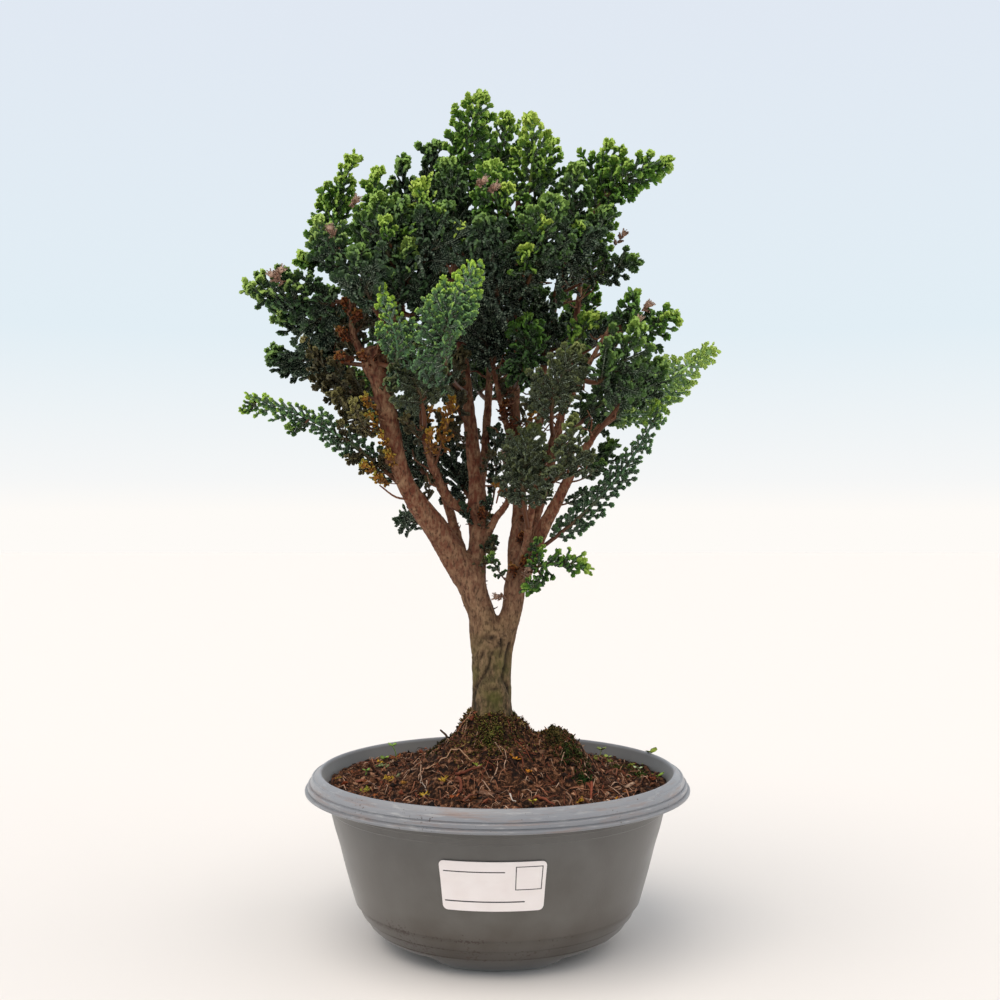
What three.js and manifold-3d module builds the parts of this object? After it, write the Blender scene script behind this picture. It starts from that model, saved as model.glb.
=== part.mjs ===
// Hinoki cypress bonsai in a round plastic pot.
// Millimetres, +Z up, +X right, -Y front. The origin is on the ground under the axis of the pot.
import * as THREE from 'three';
import { mergeVertices } from 'three/addons/utils/BufferGeometryUtils.js';
import Module from 'manifold-3d';

const wasm = await Module();
wasm.setup();

// ---------------------------------------------------------------- driving dimensions
const gap = 0.35; // air kept between pieces that touch

const potHeight = 88;
const potRimRadius = 100.5;
const potSegments = 36;
const potFloorBottom = 8;
const potFloorTop = 10.5;
const footInnerRadius = 49.5;
const footOuterRadius = 53.5;
const footCount = 3;
const footHalfAngle = 28.5; // degrees, in the middle of a foot's slanted ends
const footSlant = 2.5; // degrees that an end slants either way
const footNotchHeight = 6.5;
const footNotchRadii = [43, 74]; // far enough inside and outside of the foot ring
const drainRadius = 5;
const drainRingRadius = 32;
const drainCount = 4;
const drainSegments = 10;

// Outside of the wall, from the foot up to where the lip leaves it: [radius, height].
const wallOutside = [[footOuterRadius, 0], [64.4, 8], [71, 16.8], [76, 26.8], [82.6, 51.7], [88, 73.5],
  [90.4, 83]];
// The lip is a thin flange that turns down and out, open underneath.
const lipProfile = [[95.4, 82.2], [98.6, 78], [potRimRadius, 78], [99.5, 81.5], [96.6, 85.8],
  [93.2, potHeight]];
// Inside of the wall, from the rim down to the floor.
const wallInside = [[92, 87.7], [88.8, 82], [80.4, 51.7], [73.8, 27.9], [61, potFloorTop]];

const labelWidth = 50;
const labelHeight = 24.6;
const labelThickness = 0.5;
const labelCorner = 2.4;
const labelBottom = 37.4;
const labelTurn = -1.4; // degrees from the front, towards -X
const labelColumn = 7.5; // spacing of the columns that bend the label round the wall

const soilEdgeHeight = 81;
const soilMoundHeight = 33;
const soilMoundReach = 33;
const soilHump = { x: 38, y: 4, height: 12, reachX: 15, reachY: 20 }; // the second hump
const soilCrumb = 1.1;
const soilWallHeights = [72, 50, 27, potFloorTop + gap]; // where the soil's side follows the wall
const soilRings = 7;
const soilSegments = 28;
const trunkHoleBottom = 62;

const stemHalfWidth = 1.4; // half-width of a spray's rib
const longStem = 18; // a bare stem longer than this is bent in the middle
const ribRise = 1.1; // half-thickness at the rib
const leafletRise = 0.85; // half-thickness in the middle of a leaflet
const leafletSpacing = 9.5;
const leafletAngle = 56; // degrees between a leaflet and its rib
const leafletTilt = 20; // degrees that leaflets turn out of the frond's plane, up and down by turns
const leafletClosing = 12; // degrees that the angle closes towards the tip of the frond
const leafletJitter = 10; // degrees of spread in that angle
const leafletSpread = 0.3; // spread of the leaflets' lengths
const tipLeaflet = 0.3; // least length of the leaflet at the tip, as a part of the frond's width
const tipHalfWidth = 4.2;
const clearGrowth = 0.6; // how much a leaflet is grown when it is tested against its neighbours
const clearShares = [1, 0.72, 0.5]; // lengths and further tilts that are tried in turn
const clearTurns = [0, 22, -22, 40, -40];
// Degrees: the spread of the ways that fronds of each tone are turned about the vertical.
const facingSway = { dark: 110, mid: 90, fresh: 50, bright: 40, grey: 50, olive: 60, gold: 60 };

const boleBark = 0.1; // roughness of the bark, as a part of the radius
const limbBark = 0.06;
const stubFlare = 0.25; // how much thicker a stub is at its root
const barky = ['trunk', 'left_trunk', 'right_trunk', 'left_bough'];

// Outline of a leaflet: along its length, and across it in half-widths, from the side near the root
// of the spray round the tip to the other side.
const leafletOutline = [[0.42, -1], [0.62, -0.5], [0.9, -0.72], [1, 0.1], [0.74, 0.9]];
const tipOutline = [[0.35, -1], [0.55, -0.55], [0.85, -0.6], [1, 0], [0.85, 0.6], [0.55, 0.55], [0.35, 1]];

// ---------------------------------------------------------------- limbs: [x, y, z, radius]
const limbs = {
  trunk: {
    sides: 12,
    path: [[-3, 0, trunkHoleBottom, 10], [-3, 0, 98, 12], [-3, 0, 105, 13.2], [-3, 0, 114, 11.6],
      [-3, 0, 122, 10.6], [-3, 0, 134, 10.3], [-3, 0, 146, 10.6], [-3, 0, 156, 9.6], [-3, 0, 166, 5.5]],
  },
  left_trunk: {
    sides: 10,
    path: [[-5, 0, 144, 8.4], [-6.5, 0, 158, 8.4], [-8, 0, 169, 7.6], [-11, 0, 176, 7.3],
      [-14, 0, 186, 7.6], [-17, 0, 195, 7]],
  },
  left_bough: {
    sides: 9,
    path: [[-16, 0, 187, 7], [-22, -2, 199, 6.6], [-31, -6, 213, 6.2], [-43, -12, 229, 5.1],
      [-49, -16, 241, 4.6], [-55, -23, 267, 4.6], [-59, -28, 289, 4.9], [-62, -29, 298, 6.2],
      [-64, -29, 304, 4.8]],
  },
  left_leader: {
    sides: 8,
    path: [[-12, 0, 184, 6], [-11, 3, 199, 5], [-10.5, 6, 210, 4.8], [-10.5, 9, 225, 5.4],
      [-11.5, 11, 240, 4.4], [-15.5, 12, 276, 3.6], [-20, 6, 319, 2.7], [-22.5, 2, 345, 2.1],
      [-24, 0, 372, 1.6]],
  },
  right_trunk: {
    sides: 9,
    path: [[-1, 0, 144, 8], [2, 0, 155, 7.4], [5, 0, 164, 6.4], [8, 0, 173, 5.7], [9, 0, 182, 5.8],
      [11, 0, 192, 5.8]],
  },
  middle_leader: {
    sides: 8,
    path: [[11, 0, 186, 5.3], [11.5, 2, 199, 4.8], [12, 5, 209, 4.5], [12, 8, 223, 4.1],
      [10.5, 11, 246, 3.4], [9, 12, 285, 3.2], [8, 8, 320, 2.7], [9, 0, 356, 2.1], [11, -5, 388, 1.6]],
  },
  right_bough: {
    sides: 7,
    path: [[12, 0, 187, 5.2], [17, -3, 198, 4.2], [25, -8, 216, 3.6], [33, -12, 232, 2.9],
      [41, -14, 248, 2.5], [53, -18, 267, 1.9]],
  },
  left_riser: {
    sides: 6,
    path: [[-62, -28, 297, 3], [-69, -31, 304, 2.4], [-73, -31, 313, 1.9], [-72, -28, 337, 1.6],
      [-73, -26, 352, 1.3]],
  },
  left_crown: {
    sides: 6,
    path: [[-62, -28, 297, 4], [-55, -33, 311, 2.7], [-47, -36, 330, 2.2], [-42, -34, 350, 1.8],
      [-39, -30, 370, 1.4]],
  },
  inner_left: {
    sides: 6,
    path: [[-11, 8, 223, 3.7], [-18, 4, 224, 3.1], [-25, -2, 228, 2.8], [-31, -9, 239, 2.6],
      [-37, -18, 259, 2], [-39, -22, 275, 1.6]],
  },
  centre_slip: {
    sides: 5,
    path: [[-10, 6, 202, 3], [-5.5, 4, 210, 2.4], [-1, 0, 219, 2.2], [5, -4, 227, 1.9],
      [8, -9, 237, 1.5]],
  },
  inner_right: {
    sides: 5,
    path: [[10, 11, 254, 3], [6, 8, 265, 2.2], [3, 4, 275, 1.9], [-3, -4, 302, 1.4]],
  },
  right_leader: {
    sides: 6,
    path: [[10, 12, 262, 3], [16, 14, 266, 2.7], [22, 17, 270, 2.6], [24, 20, 281, 2.5],
      [25, 20, 301, 2.3], [28, 17, 321, 2.1], [33, 12, 342, 1.8], [46, 0, 379, 1.3]],
  },
  front_right: {
    sides: 6,
    path: [[12, -1, 192, 3.6], [15, -9, 205, 2.4], [17, -18, 221, 2.2], [22, -29, 243, 1.9],
      [31, -36, 268, 1.7], [45, -37, 295, 1.5], [58, -33, 318, 1.2]],
  },
  rear_left: {
    sides: 6,
    path: [[-15, 2, 187, 4], [-20, 11, 203, 2.9], [-28, 26, 229, 2.8], [-39, 39, 263, 2.5],
      [-48, 47, 298, 2.2], [-54, 50, 334, 1.9], [-56, 46, 363, 1.4]],
  },
  rear_right: {
    sides: 6,
    path: [[11, 2, 186, 4], [16, 11, 203, 2.9], [24, 26, 229, 2.8], [33, 39, 263, 2.5],
      [40, 47, 298, 2.2], [45, 50, 334, 1.9], [48, 46, 361, 1.4]],
  },
  rear_centre: {
    sides: 6,
    path: [[-11, 9, 229, 3.2], [-8, 22, 245, 2.6], [-6, 38, 274, 2.4], [-4, 48, 310, 2.2],
      [-3, 51, 345, 1.9], [-3, 46, 378, 1.6], [-4, 41, 402, 1.2]],
  },
};

// Stubs of pruned branches: [x, y, z] at the root and at the cut, and the radius there.
const stubs = [
  { root: [-61, -28, 296], cut: [-66, -33, 301], radius: 3.4 },
  { root: [-51, -18, 248], cut: [-57, -20, 249], radius: 2.2 },
  { root: [11, 9, 232], cut: [15, 3, 236], radius: 1.8 },
  { root: [-3, -6, 128], cut: [1, -13, 129], radius: 3.2 },
];

// ---------------------------------------------------------------- sprays
// [limb, height on it, bend, tip, width, the way its face looks, bare part, tone]. A row whose limb is
// 'fork' leaves the spray above it at that part of its length, and is one piece with it.
const sprays = [
  ['left_bough', 229, [-84, -22, 263], [-125, -48, 276], 20, [0, -10, 5], 0.34, 'fresh'],
  ['left_bough', 296, [-95, 0, 301], [-122, 8, 307], 28, [0, -8, 5], 0.22, 'dark'],
  ['fork', 0.35, [-84, -4, 314], [-86, -8, 336], 30, [0, -10, 2], 0.15, 'dark'],
  ['left_bough', 280, [-83, -12, 283], [-102, -6, 312], 34, [-3, -10, 2], 0.18, 'olive'],
  ['left_bough', 262, [-71, -22, 268], [-85, -28, 281], 22, [0, -10, 2], 0.24, 'olive'],
  ['fork', 0.25, [-66, -34, 264], [-71, -42, 276], 12, [0, -10, 3], 0.15, 'gold'],
  ['left_bough', 299, [-48, -60, 297], [-53, -66, 328], 30, [2, -10, 1], 0.2, 'fresh'],
  ['left_bough', 210, [-46, 14, 217], [-57, 28, 217], 20, [0, -6, 8], 0.25, 'dark'],
  ['left_riser', 330, [-96, -34, 329], [-122, -48, 335], 34, [0, -10, 4], 0.16, 'fresh'],
  ['fork', 0.22, [-94, -26, 319], [-108, -28, 321], 30, [0, -10, 3], 0.15, 'dark'],
  ['left_riser', 351, [-88, 4, 374], [-77, 6, 412], 28, [0, -10, 1], 0.2, 'fresh'],
  ['fork', 0.42, [-96, 0, 358], [-104, -4, 356], 16, [0, -10, 5], 0.3, 'mid'],
  ['left_riser', 352, [-63, -16, 372], [-62, -12, 403], 28, [0, -10, 3], 0.2, 'fresh'],
  ['left_riser', 334, [-78, -42, 346], [-88, -48, 364], 26, [-3, -10, 2], 0.25, 'bright'],
  ['left_crown', 316, [-60, -54, 322], [-68, -60, 346], 36, [-1, -10, 1], 0.15, 'dark'],
  ['left_crown', 339, [-55, -44, 352], [-60, -36, 378], 34, [0, -10, 2], 0.2, 'mid'],
  ['left_crown', 369, [-38, -42, 370], [-38, -48, 382], 30, [0, -10, 3], 0.15, 'bright'],
  ['left_crown', 347, [-34, -50, 348], [-26, -52, 370], 34, [1, -10, 1], 0.2, 'dark'],
  ['left_crown', 324, [-38, -44, 322], [-32, -36, 346], 34, [1, -10, 1], 0.2, 'dark'],
  ['left_leader', 361, [-18, 0, 408], [-9, 0, 444], 28, [0, -10, 1], 0.2, 'fresh'],
  ['left_leader', 342, [-43, 22, 371], [-53, 24, 414], 28, [0, -10, 0], 0.25, 'dark'],
  ['fork', 0.4, [-37, 14, 396], [-34, 12, 420], 26, [0, -10, 2], 0.1, 'mid'],
  ['left_leader', 345, [-21, -20, 370], [-25, -20, 401], 34, [0, -10, 2], 0.2, 'mid'],
  ['left_leader', 286, [-25, -74, 300], [-9, -78, 338], 36, [0, -10, 1], 0.3, 'bright'],
  ['left_leader', 268, [-22, -6, 282], [-18, -12, 304], 16, [2, -10, 0], 0.2, 'gold'],
  ['left_leader', 226, [-21, 29, 240], [-28, 29, 268], 26, [0, -6, 8], 0.2, 'dark'],
  ['left_leader', 212, [-1, 24, 230], [2, 32, 262], 20, [0, -10, 0], 0.2, 'dark'],
  ['inner_left', 263, [-38, -48, 280], [-47, -54, 302], 32, [0, -10, 2], 0.3, 'grey'],
  ['fork', 0.45, [-33, -44, 283], [-26, -44, 299], 26, [1, -10, 1], 0.15, 'grey'],
  ['inner_left', 245, [-27, -26, 263], [-24, -28, 279], 12, [0, -10, 0], 0.2, 'gold'],
  ['centre_slip', 233, [12, -16, 244], [15, -20, 259], 22, [0, -10, 0], 0.2, 'grey'],
  ['inner_right', 294, [-6, -14, 312], [-4, -16, 334], 30, [0, -10, 1], 0.15, 'dark'],
  ['middle_leader', 374, [16, -12, 402], [13, -15, 429], 30, [0, -10, 1], 0.2, 'bright'],
  ['middle_leader', 361, [22, 8, 392], [30, 10, 423], 22, [0, -10, 2], 0.25, 'fresh'],
  ['middle_leader', 345, [2, -30, 367], [-3, -34, 396], 34, [0, -10, 3], 0.2, 'fresh'],
  ['middle_leader', 332, [19, -42, 346], [26, -48, 376], 36, [1, -10, 2], 0.2, 'mid'],
  ['middle_leader', 316, [-1, -40, 334], [-6, -50, 364], 38, [0, -10, 1], 0.25, 'dark'],
  ['middle_leader', 288, [14, -14, 300], [14, -22, 320], 30, [0, -10, 2], 0.2, 'mid'],
  ['fork', 0.3, [18, -12, 288], [17, -12, 302], 16, [0, -10, 1], 0.2, 'mid'],
  ['right_leader', 363, [64, -8, 391], [92, -10, 403], 28, [0, -10, 4], 0.25, 'fresh'],
  ['fork', 0.35, [56, -4, 402], [58, -2, 419], 30, [0, -10, 3], 0.1, 'fresh'],
  ['right_leader', 349, [51, -18, 362], [61, -20, 377], 26, [1, -10, 3], 0.2, 'mid'],
  ['fork', 0.2, [39, -17, 380], [39, -18, 403], 26, [0, -10, 3], 0.15, 'fresh'],
  ['right_leader', 339, [53, -4, 346], [71, -6, 352], 28, [0, -10, 4], 0.25, 'mid'],
  ['right_leader', 330, [32, -30, 342], [42, -38, 362], 34, [1, -10, 1], 0.2, 'dark'],
  ['right_leader', 302, [26, -2, 318], [21, -6, 337], 30, [0, -10, 2], 0.15, 'mid'],
  ['fork', 0.2, [43, 8, 316], [57, 14, 330], 24, [0, -10, 3], 0.2, 'mid'],
  ['right_leader', 277, [35, 26, 291], [48, 30, 314], 24, [0, -10, 3], 0.3, 'grey'],
  ['right_bough', 265, [83, 8, 285], [124, 38, 314], 36, [1, -10, 2], 0.16, 'fresh'],
  ['right_bough', 260, [67, -28, 281], [80, -30, 295], 30, [0, -10, 2], 0.25, 'mid'],
  ['right_bough', 242, [52, 5, 244], [62, 8, 253], 18, [0, -10, 4], 0.25, 'mid'],
  ['right_bough', 200, [58, -4, 241], [92, -10, 277], 22, [0, -9, 6], 0.24, 'fresh'],
  ['front_right', 213, [13, -40, 238], [18, -44, 263], 30, [-2, -10, -2], 0.2, 'grey'],
  ['front_right', 235, [32, -44, 243], [37, -54, 267], 30, [2, -10, -2], 0.2, 'grey'],
  ['front_right', 260, [28, -50, 279], [39, -54, 302], 32, [0, -10, 0], 0.2, 'grey'],
  ['front_right', 289, [55, -52, 289], [68, -56, 312], 34, [1, -10, 0], 0.2, 'mid'],
  ['front_right', 316, [76, -28, 314], [92, -30, 321], 26, [0, -10, 5], 0.2, 'fresh'],
  ['fork', 0.35, [69, -38, 322], [69, -36, 334], 24, [0, -10, 3], 0.1, 'mid'],
  ['right_trunk', 186, [29, -22, 197], [49, -36, 194], 18, [0, -7, 8], 0.22, 'fresh'],
  ['fork', 0.3, [22, -24, 188], [15, -26, 182], 18, [0, -10, 3], 0.2, 'mid'],
  ['rear_left', 235, [-46, 28, 254], [-46, 32, 286], 32, [0, -10, 1], 0.2, 'dark'],
  ['rear_left', 263, [-68, 54, 282], [-92, 60, 306], 30, [-4, 10, 3], 0.2, 'mid'],
  ['rear_left', 300, [-60, 66, 322], [-68, 74, 350], 34, [-2, 10, 2], 0.2, 'fresh'],
  ['fork', 0.4, [-70, 58, 368], [-66, 44, 402], 30, [-3, 10, 2], 0.15, 'fresh'],
  ['rear_centre', 285, [-14, 66, 300], [-20, 76, 330], 36, [0, 10, 2], 0.2, 'mid'],
  ['fork', 0.3, [4, 66, 306], [14, 72, 334], 32, [1, 10, 2], 0.15, 'mid'],
  ['rear_centre', 350, [-22, 62, 372], [-30, 60, 402], 32, [0, 10, 2], 0.2, 'mid'],
  ['fork', 0.2, [14, 64, 372], [20, 58, 398], 32, [1, 10, 2], 0.15, 'mid'],
  ['rear_centre', 396, [1, 29, 418], [5, 24, 438], 28, [0, 10, 2], 0.2, 'fresh'],
  ['rear_right', 262, [60, 54, 284], [82, 60, 308], 32, [4, 10, 3], 0.2, 'mid'],
  ['rear_right', 300, [46, 66, 322], [44, 74, 350], 34, [2, 10, 2], 0.2, 'fresh'],
  ['fork', 0.4, [56, 58, 368], [66, 40, 400], 30, [3, 10, 2], 0.15, 'fresh'],
];

const colours = { pot: 0x5d6163, label: 0xf3eeee, soil: 0x3a241a, bark: 0x7d5543 };
const tones = {
  dark: 0x21452f,
  mid: 0x2f5f35,
  fresh: 0x4c8a36,
  bright: 0x86b63c,
  grey: 0x52715b,
  olive: 0x4a5a2c,
  gold: 0xb98a2e,
};

// ---------------------------------------------------------------- helpers
const vec = ([x, y, z]) => new THREE.Vector3(x, y, z);
const radians = THREE.MathUtils.degToRad;

// A fixed draw between 0 and 1 for each whole number.
function draw(n) {
  const value = Math.sin((n + 1) * 12.9898) * 43758.5453;
  return value - Math.floor(value);
}

function solidOf(geometry) {
  const bare = geometry.clone();
  bare.deleteAttribute('normal');
  bare.deleteAttribute('uv');
  const welded = mergeVertices(bare, 1e-4);
  const mesh = new wasm.Mesh({
    numProp: 3,
    vertProperties: new Float32Array(welded.attributes.position.array),
    triVerts: new Uint32Array(welded.index.array),
  });
  return new wasm.Manifold(mesh);
}

function geometryOf(solid) {
  const mesh = solid.getMesh();
  const geometry = new THREE.BufferGeometry();
  geometry.setAttribute('position', new THREE.BufferAttribute(mesh.vertProperties, 3));
  geometry.setIndex(new THREE.BufferAttribute(mesh.triVerts, 1));
  geometry.computeVertexNormals();
  return geometry;
}

function finish(color, roughness) {
  return new THREE.MeshStandardMaterial({ color, roughness, metalness: 0 });
}

function named(name, geometry, material) {
  const mesh = new THREE.Mesh(geometry, material);
  mesh.name = name;
  return mesh;
}

// A closed tube along a curve. radiusAt(t) gives its radius; bark roughens it.
function taperedTube(curve, radiusAt, sides, steps, bark = 0) {
  const geometry = new THREE.CylinderGeometry(1, 1, 1, sides, steps);
  const frames = [];
  const normal = new THREE.Vector3(0.31, 0.87, 0.38);
  for (let step = 0; step <= steps; step += 1) {
    const tangent = curve.getTangent(step / steps);
    normal.addScaledVector(tangent, -normal.dot(tangent)).normalize();
    const centre = curve.getPoint(step / steps);
    const binormal = new THREE.Vector3().crossVectors(tangent, normal);
    frames.push({ centre, normal: normal.clone(), binormal });
  }
  const position = geometry.attributes.position;
  for (let i = 0; i < position.count; i += 1) {
    const t = position.getY(i) + 0.5;
    const frame = frames[Math.round(t * steps)];
    const across = position.getX(i);
    const along = position.getZ(i);
    const place = Math.round(across * 50) * 7 + Math.round(along * 50) * 13 + Math.round(t * steps) * 29;
    const radius = radiusAt(t) * (1 + bark * (draw(place + 900) - 0.5));
    const point = frame.centre.clone();
    point.addScaledVector(frame.binormal, across * radius);
    point.addScaledVector(frame.normal, along * radius);
    position.setXYZ(i, point.x, point.y, point.z);
  }
  return geometry;
}

// ---------------------------------------------------------------- pot
function potGeometry() {
  const profile = [[0, potFloorBottom], [footInnerRadius, potFloorBottom], [footInnerRadius, 0]];
  profile.push(...wallOutside, ...lipProfile, ...wallInside, [0, potFloorTop]);
  const lathe = new THREE.LatheGeometry(profile.map(([r, z]) => new THREE.Vector2(r, z)), potSegments);
  lathe.rotateX(Math.PI / 2);
  let pot = solidOf(lathe);
  for (let i = 0; i < footCount; i += 1) {
    pot = pot.subtract(footNotch((i + 0.5) * 360 / footCount - 90));
  }
  for (let i = 0; i < drainCount; i += 1) {
    pot = pot.subtract(drainHole((i + 0.5) * 360 / drainCount));
  }
  return geometryOf(pot);
}

// The arch between two feet: a wedge with slanted ends, cut through the foot ring.
function footNotch(degrees) {
  const [inner, outer] = footNotchRadii;
  const halfAngle = 180 / footCount - footHalfAngle;
  const wedge = new THREE.BoxGeometry(2, 1, 1, 3, 1, 1);
  const position = wedge.attributes.position;
  for (let i = 0; i < position.count; i += 1) {
    const top = position.getZ(i) > 0;
    const angle = radians(degrees + position.getX(i) * (top ? halfAngle - footSlant : halfAngle + footSlant));
    const radius = position.getY(i) > 0 ? inner : outer;
    position.setXYZ(i, radius * Math.cos(angle), radius * Math.sin(angle), top ? footNotchHeight : -gap);
  }
  return solidOf(wedge);
}

function drainHole(degrees) {
  const hole = new THREE.CylinderGeometry(drainRadius, drainRadius, 2 * potFloorTop, drainSegments);
  hole.rotateX(Math.PI / 2);
  const angle = radians(degrees);
  hole.translate(drainRingRadius * Math.cos(angle), drainRingRadius * Math.sin(angle), potFloorTop);
  return solidOf(hole);
}

// ---------------------------------------------------------------- label
function wallRadius(z) {
  for (let i = 1; i < wallOutside.length; i += 1) {
    const [r0, z0] = wallOutside[i - 1];
    const [r1, z1] = wallOutside[i];
    if (z <= z1) {
      return r0 + (r1 - r0) * (z - z0) / (z1 - z0);
    }
  }
  return wallOutside.at(-1)[0];
}

// A thin plate bent round the wall, with its corners rounded by shorter end columns.
function labelGeometry() {
  const half = labelWidth / 2;
  const insets = [[0, labelCorner], [0.3 * labelCorner, 0.3 * labelCorner], [labelCorner, 0]];
  const columns = insets.map(([inset, drop]) => [-half + inset, drop]);
  for (let i = -2; i <= 2; i += 1) {
    columns.push([i * labelColumn, 0]);
  }
  columns.push(...insets.map(([inset, drop]) => [half - inset, drop]).reverse());
  const plate = new THREE.BoxGeometry(1, 1, 1, columns.length - 1, 1, 1);
  const position = plate.attributes.position;
  const middle = wallRadius(labelBottom + labelHeight / 2);
  for (let i = 0; i < position.count; i += 1) {
    const [x, drop] = columns[Math.round((position.getX(i) + 0.5) * (columns.length - 1))];
    const z = position.getZ(i) > 0 ? labelBottom + labelHeight - drop : labelBottom + drop;
    const radius = wallRadius(z) + gap + (position.getY(i) < 0 ? labelThickness : 0);
    const angle = x / middle + radians(labelTurn - 90);
    position.setXYZ(i, radius * Math.cos(angle), radius * Math.sin(angle), z);
  }
  return geometryOf(solidOf(plate));
}

// ---------------------------------------------------------------- soil
function insideRadius(z) {
  for (let i = 1; i < wallInside.length; i += 1) {
    const [r0, z0] = wallInside[i - 1];
    const [r1, z1] = wallInside[i];
    if (z >= z1) {
      return r1 + (r0 - r1) * (z - z1) / (z0 - z1);
    }
  }
  return wallInside.at(-1)[0];
}

// Height of the soil: level near the wall, a mound at the trunk with a second hump beside it.
function soilHeight(x, y) {
  const trunkX = limbs.trunk.path[0][0];
  const outX = (x - trunkX) / soilMoundReach;
  const outY = y / soilMoundReach;
  const mound = soilMoundHeight * Math.exp(-(outX ** 2) - outY ** 2);
  const besideX = (x - soilHump.x) / soilHump.reachX;
  const besideY = (y - soilHump.y) / soilHump.reachY;
  const hump = soilHump.height * Math.exp(-(besideX ** 2) - besideY ** 2);
  const wave = Math.sin(x * 0.31 + 1.3 * Math.sin(y * 0.23));
  const crumbs = soilCrumb * wave * Math.cos(y * 0.37 - 0.8 * Math.sin(x * 0.19));
  return soilEdgeHeight + mound + hump + crumbs;
}

// A sphere's rings and segments give the closed body: the upper rings carry the surface, the lower
// ones follow the inside of the wall down to the floor.
function soilGeometry() {
  const rows = soilRings + soilWallHeights.length + 1;
  const soil = new THREE.SphereGeometry(1, soilSegments, rows);
  const position = soil.attributes.position;
  const edge = insideRadius(soilEdgeHeight) - 2 * gap;
  for (let i = 0; i < position.count; i += 1) {
    const row = Math.floor(i / (soilSegments + 1));
    const angle = (i % (soilSegments + 1)) / soilSegments * 2 * Math.PI;
    if (row <= soilRings) {
      const radius = edge * row / soilRings;
      const x = radius * Math.cos(angle);
      const y = radius * Math.sin(angle);
      position.setXYZ(i, x, y, row === soilRings ? soilEdgeHeight : soilHeight(x, y));
    } else {
      const z = soilWallHeights[Math.min(row - soilRings, soilWallHeights.length) - 1];
      const radius = row === rows ? 0 : (insideRadius(z) - 2 * gap) * Math.cos(Math.PI / potSegments);
      position.setXYZ(i, radius * Math.cos(angle), radius * Math.sin(angle), z);
    }
  }
  return soil;
}

// The plain hole that the trunk stands in.
function trunkHole() {
  const grown = (t) => radiusAlong(limbs.trunk.path)(t) * (1 + boleBark / 2) + gap;
  const { path, sides } = limbs.trunk;
  const points = path.map((p, i) => new THREE.Vector3(p[0], p[1], i === 0 ? p[2] - gap : p[2]));
  const curve = new THREE.CatmullRomCurve3(points, false, 'centripetal');
  return solidOf(taperedTube(curve, grown, sides, path.length - 1));
}

// ---------------------------------------------------------------- trunk and branches
function limbCurve(path) {
  return new THREE.CatmullRomCurve3(path.map(vec), false, 'centripetal');
}

function radiusAlong(path) {
  return (t) => {
    const place = t * (path.length - 1);
    const i = Math.min(Math.floor(place), path.length - 2);
    return THREE.MathUtils.lerp(path[i][3], path[i + 1][3], place - i);
  };
}

function limbSolid({ path, sides }, bark) {
  return solidOf(taperedTube(limbCurve(path), radiusAlong(path), sides, path.length - 1, bark));
}

function stubSolid({ root, cut, radius }) {
  const curve = new THREE.LineCurve3(vec(root), vec(cut));
  return solidOf(taperedTube(curve, (t) => radius * (1 + stubFlare * (1 - t)), 6, 1));
}

function limbPointAt(limb, height) {
  const { path } = limbs[limb];
  let i = 1;
  while (i < path.length - 1 && path[i][2] < height) {
    i += 1;
  }
  const t = THREE.MathUtils.clamp((height - path[i - 1][2]) / (path[i][2] - path[i - 1][2]), 0, 1);
  return vec(path[i - 1]).lerp(vec(path[i]), t);
}

// A spray's axis leaves its limb and passes through its bend to its tip.
function sprayAxis(start, bend, tip) {
  const control = vec(bend).multiplyScalar(2).addScaledVector(start, -0.5).addScaledVector(vec(tip), -0.5);
  return new THREE.QuadraticBezierCurve3(start, control, vec(tip));
}

// Where a spray's stem leaves the wood: the first place along its axis where it is clear.
function clearStart({ axis, bare }, wood) {
  for (let t = 0; t < bare; t += 0.01) {
    const root = new THREE.LineCurve3(axis.getPoint(t), axis.getPoint(t + 0.02));
    const probe = solidOf(taperedTube(root, () => stemHalfWidth + gap, 6, 1));
    if (isClear(probe, [wood])) {
      return t;
    }
  }
  return bare;
}

// ---------------------------------------------------------------- fronds
// Collects the points and triangles of one closed body.
class Body {
  constructor() {
    this.points = [];
    this.triangles = [];
  }

  point(position) {
    this.points.push(position.x, position.y, position.z);
    return this.points.length / 3 - 1;
  }

  // Triangles from an apex to each side of a ring, turned round for the under side.
  fan(apex, ring, under) {
    for (let i = 0; i < ring.length; i += 1) {
      const next = ring[(i + 1) % ring.length];
      this.triangles.push(...(under ? [apex, next, ring[i]] : [apex, ring[i], next]));
    }
  }

  quad(a, b, c, d) {
    this.triangles.push(a, b, c, a, c, d);
  }

  geometry() {
    const geometry = new THREE.BufferGeometry();
    geometry.setAttribute('position', new THREE.Float32BufferAttribute(this.points, 3));
    geometry.setIndex(this.triangles);
    return geometry;
  }
}

// Points of a leaflet: its outline, and its middle above and below.
function leafletPoints({ root, along, across, normal }, length, halfWidth, rise) {
  const at = (u, v, w) => root.clone()
    .addScaledVector(along, u * length)
    .addScaledVector(across, v * halfWidth)
    .addScaledVector(normal, w);
  return {
    outline: leafletOutline.map(([u, v]) => at(u, v, 0)),
    above: at(0.5, 0, rise),
    below: at(0.5, 0, -rise),
  };
}

// The leaflet alone as a closed body, a little larger than life.
function leafletProbe(frame, length, halfWidth) {
  const rise = leafletRise + clearGrowth / 2;
  const points = leafletPoints(frame, length + clearGrowth, halfWidth + clearGrowth, rise);
  const body = new Body();
  const ring = [frame.from, ...points.outline, frame.to].map((p) => body.point(p));
  body.fan(body.point(points.above), ring, frame.mirrored);
  body.fan(body.point(points.below), ring, !frame.mirrored);
  return solidOf(body.geometry());
}

function withBounds(solid) {
  return { solid, bounds: solid.boundingBox() };
}

function boxesMeet(a, b) {
  return [0, 1, 2].every((k) => a.min[k] <= b.max[k] && b.min[k] <= a.max[k]);
}

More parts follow.
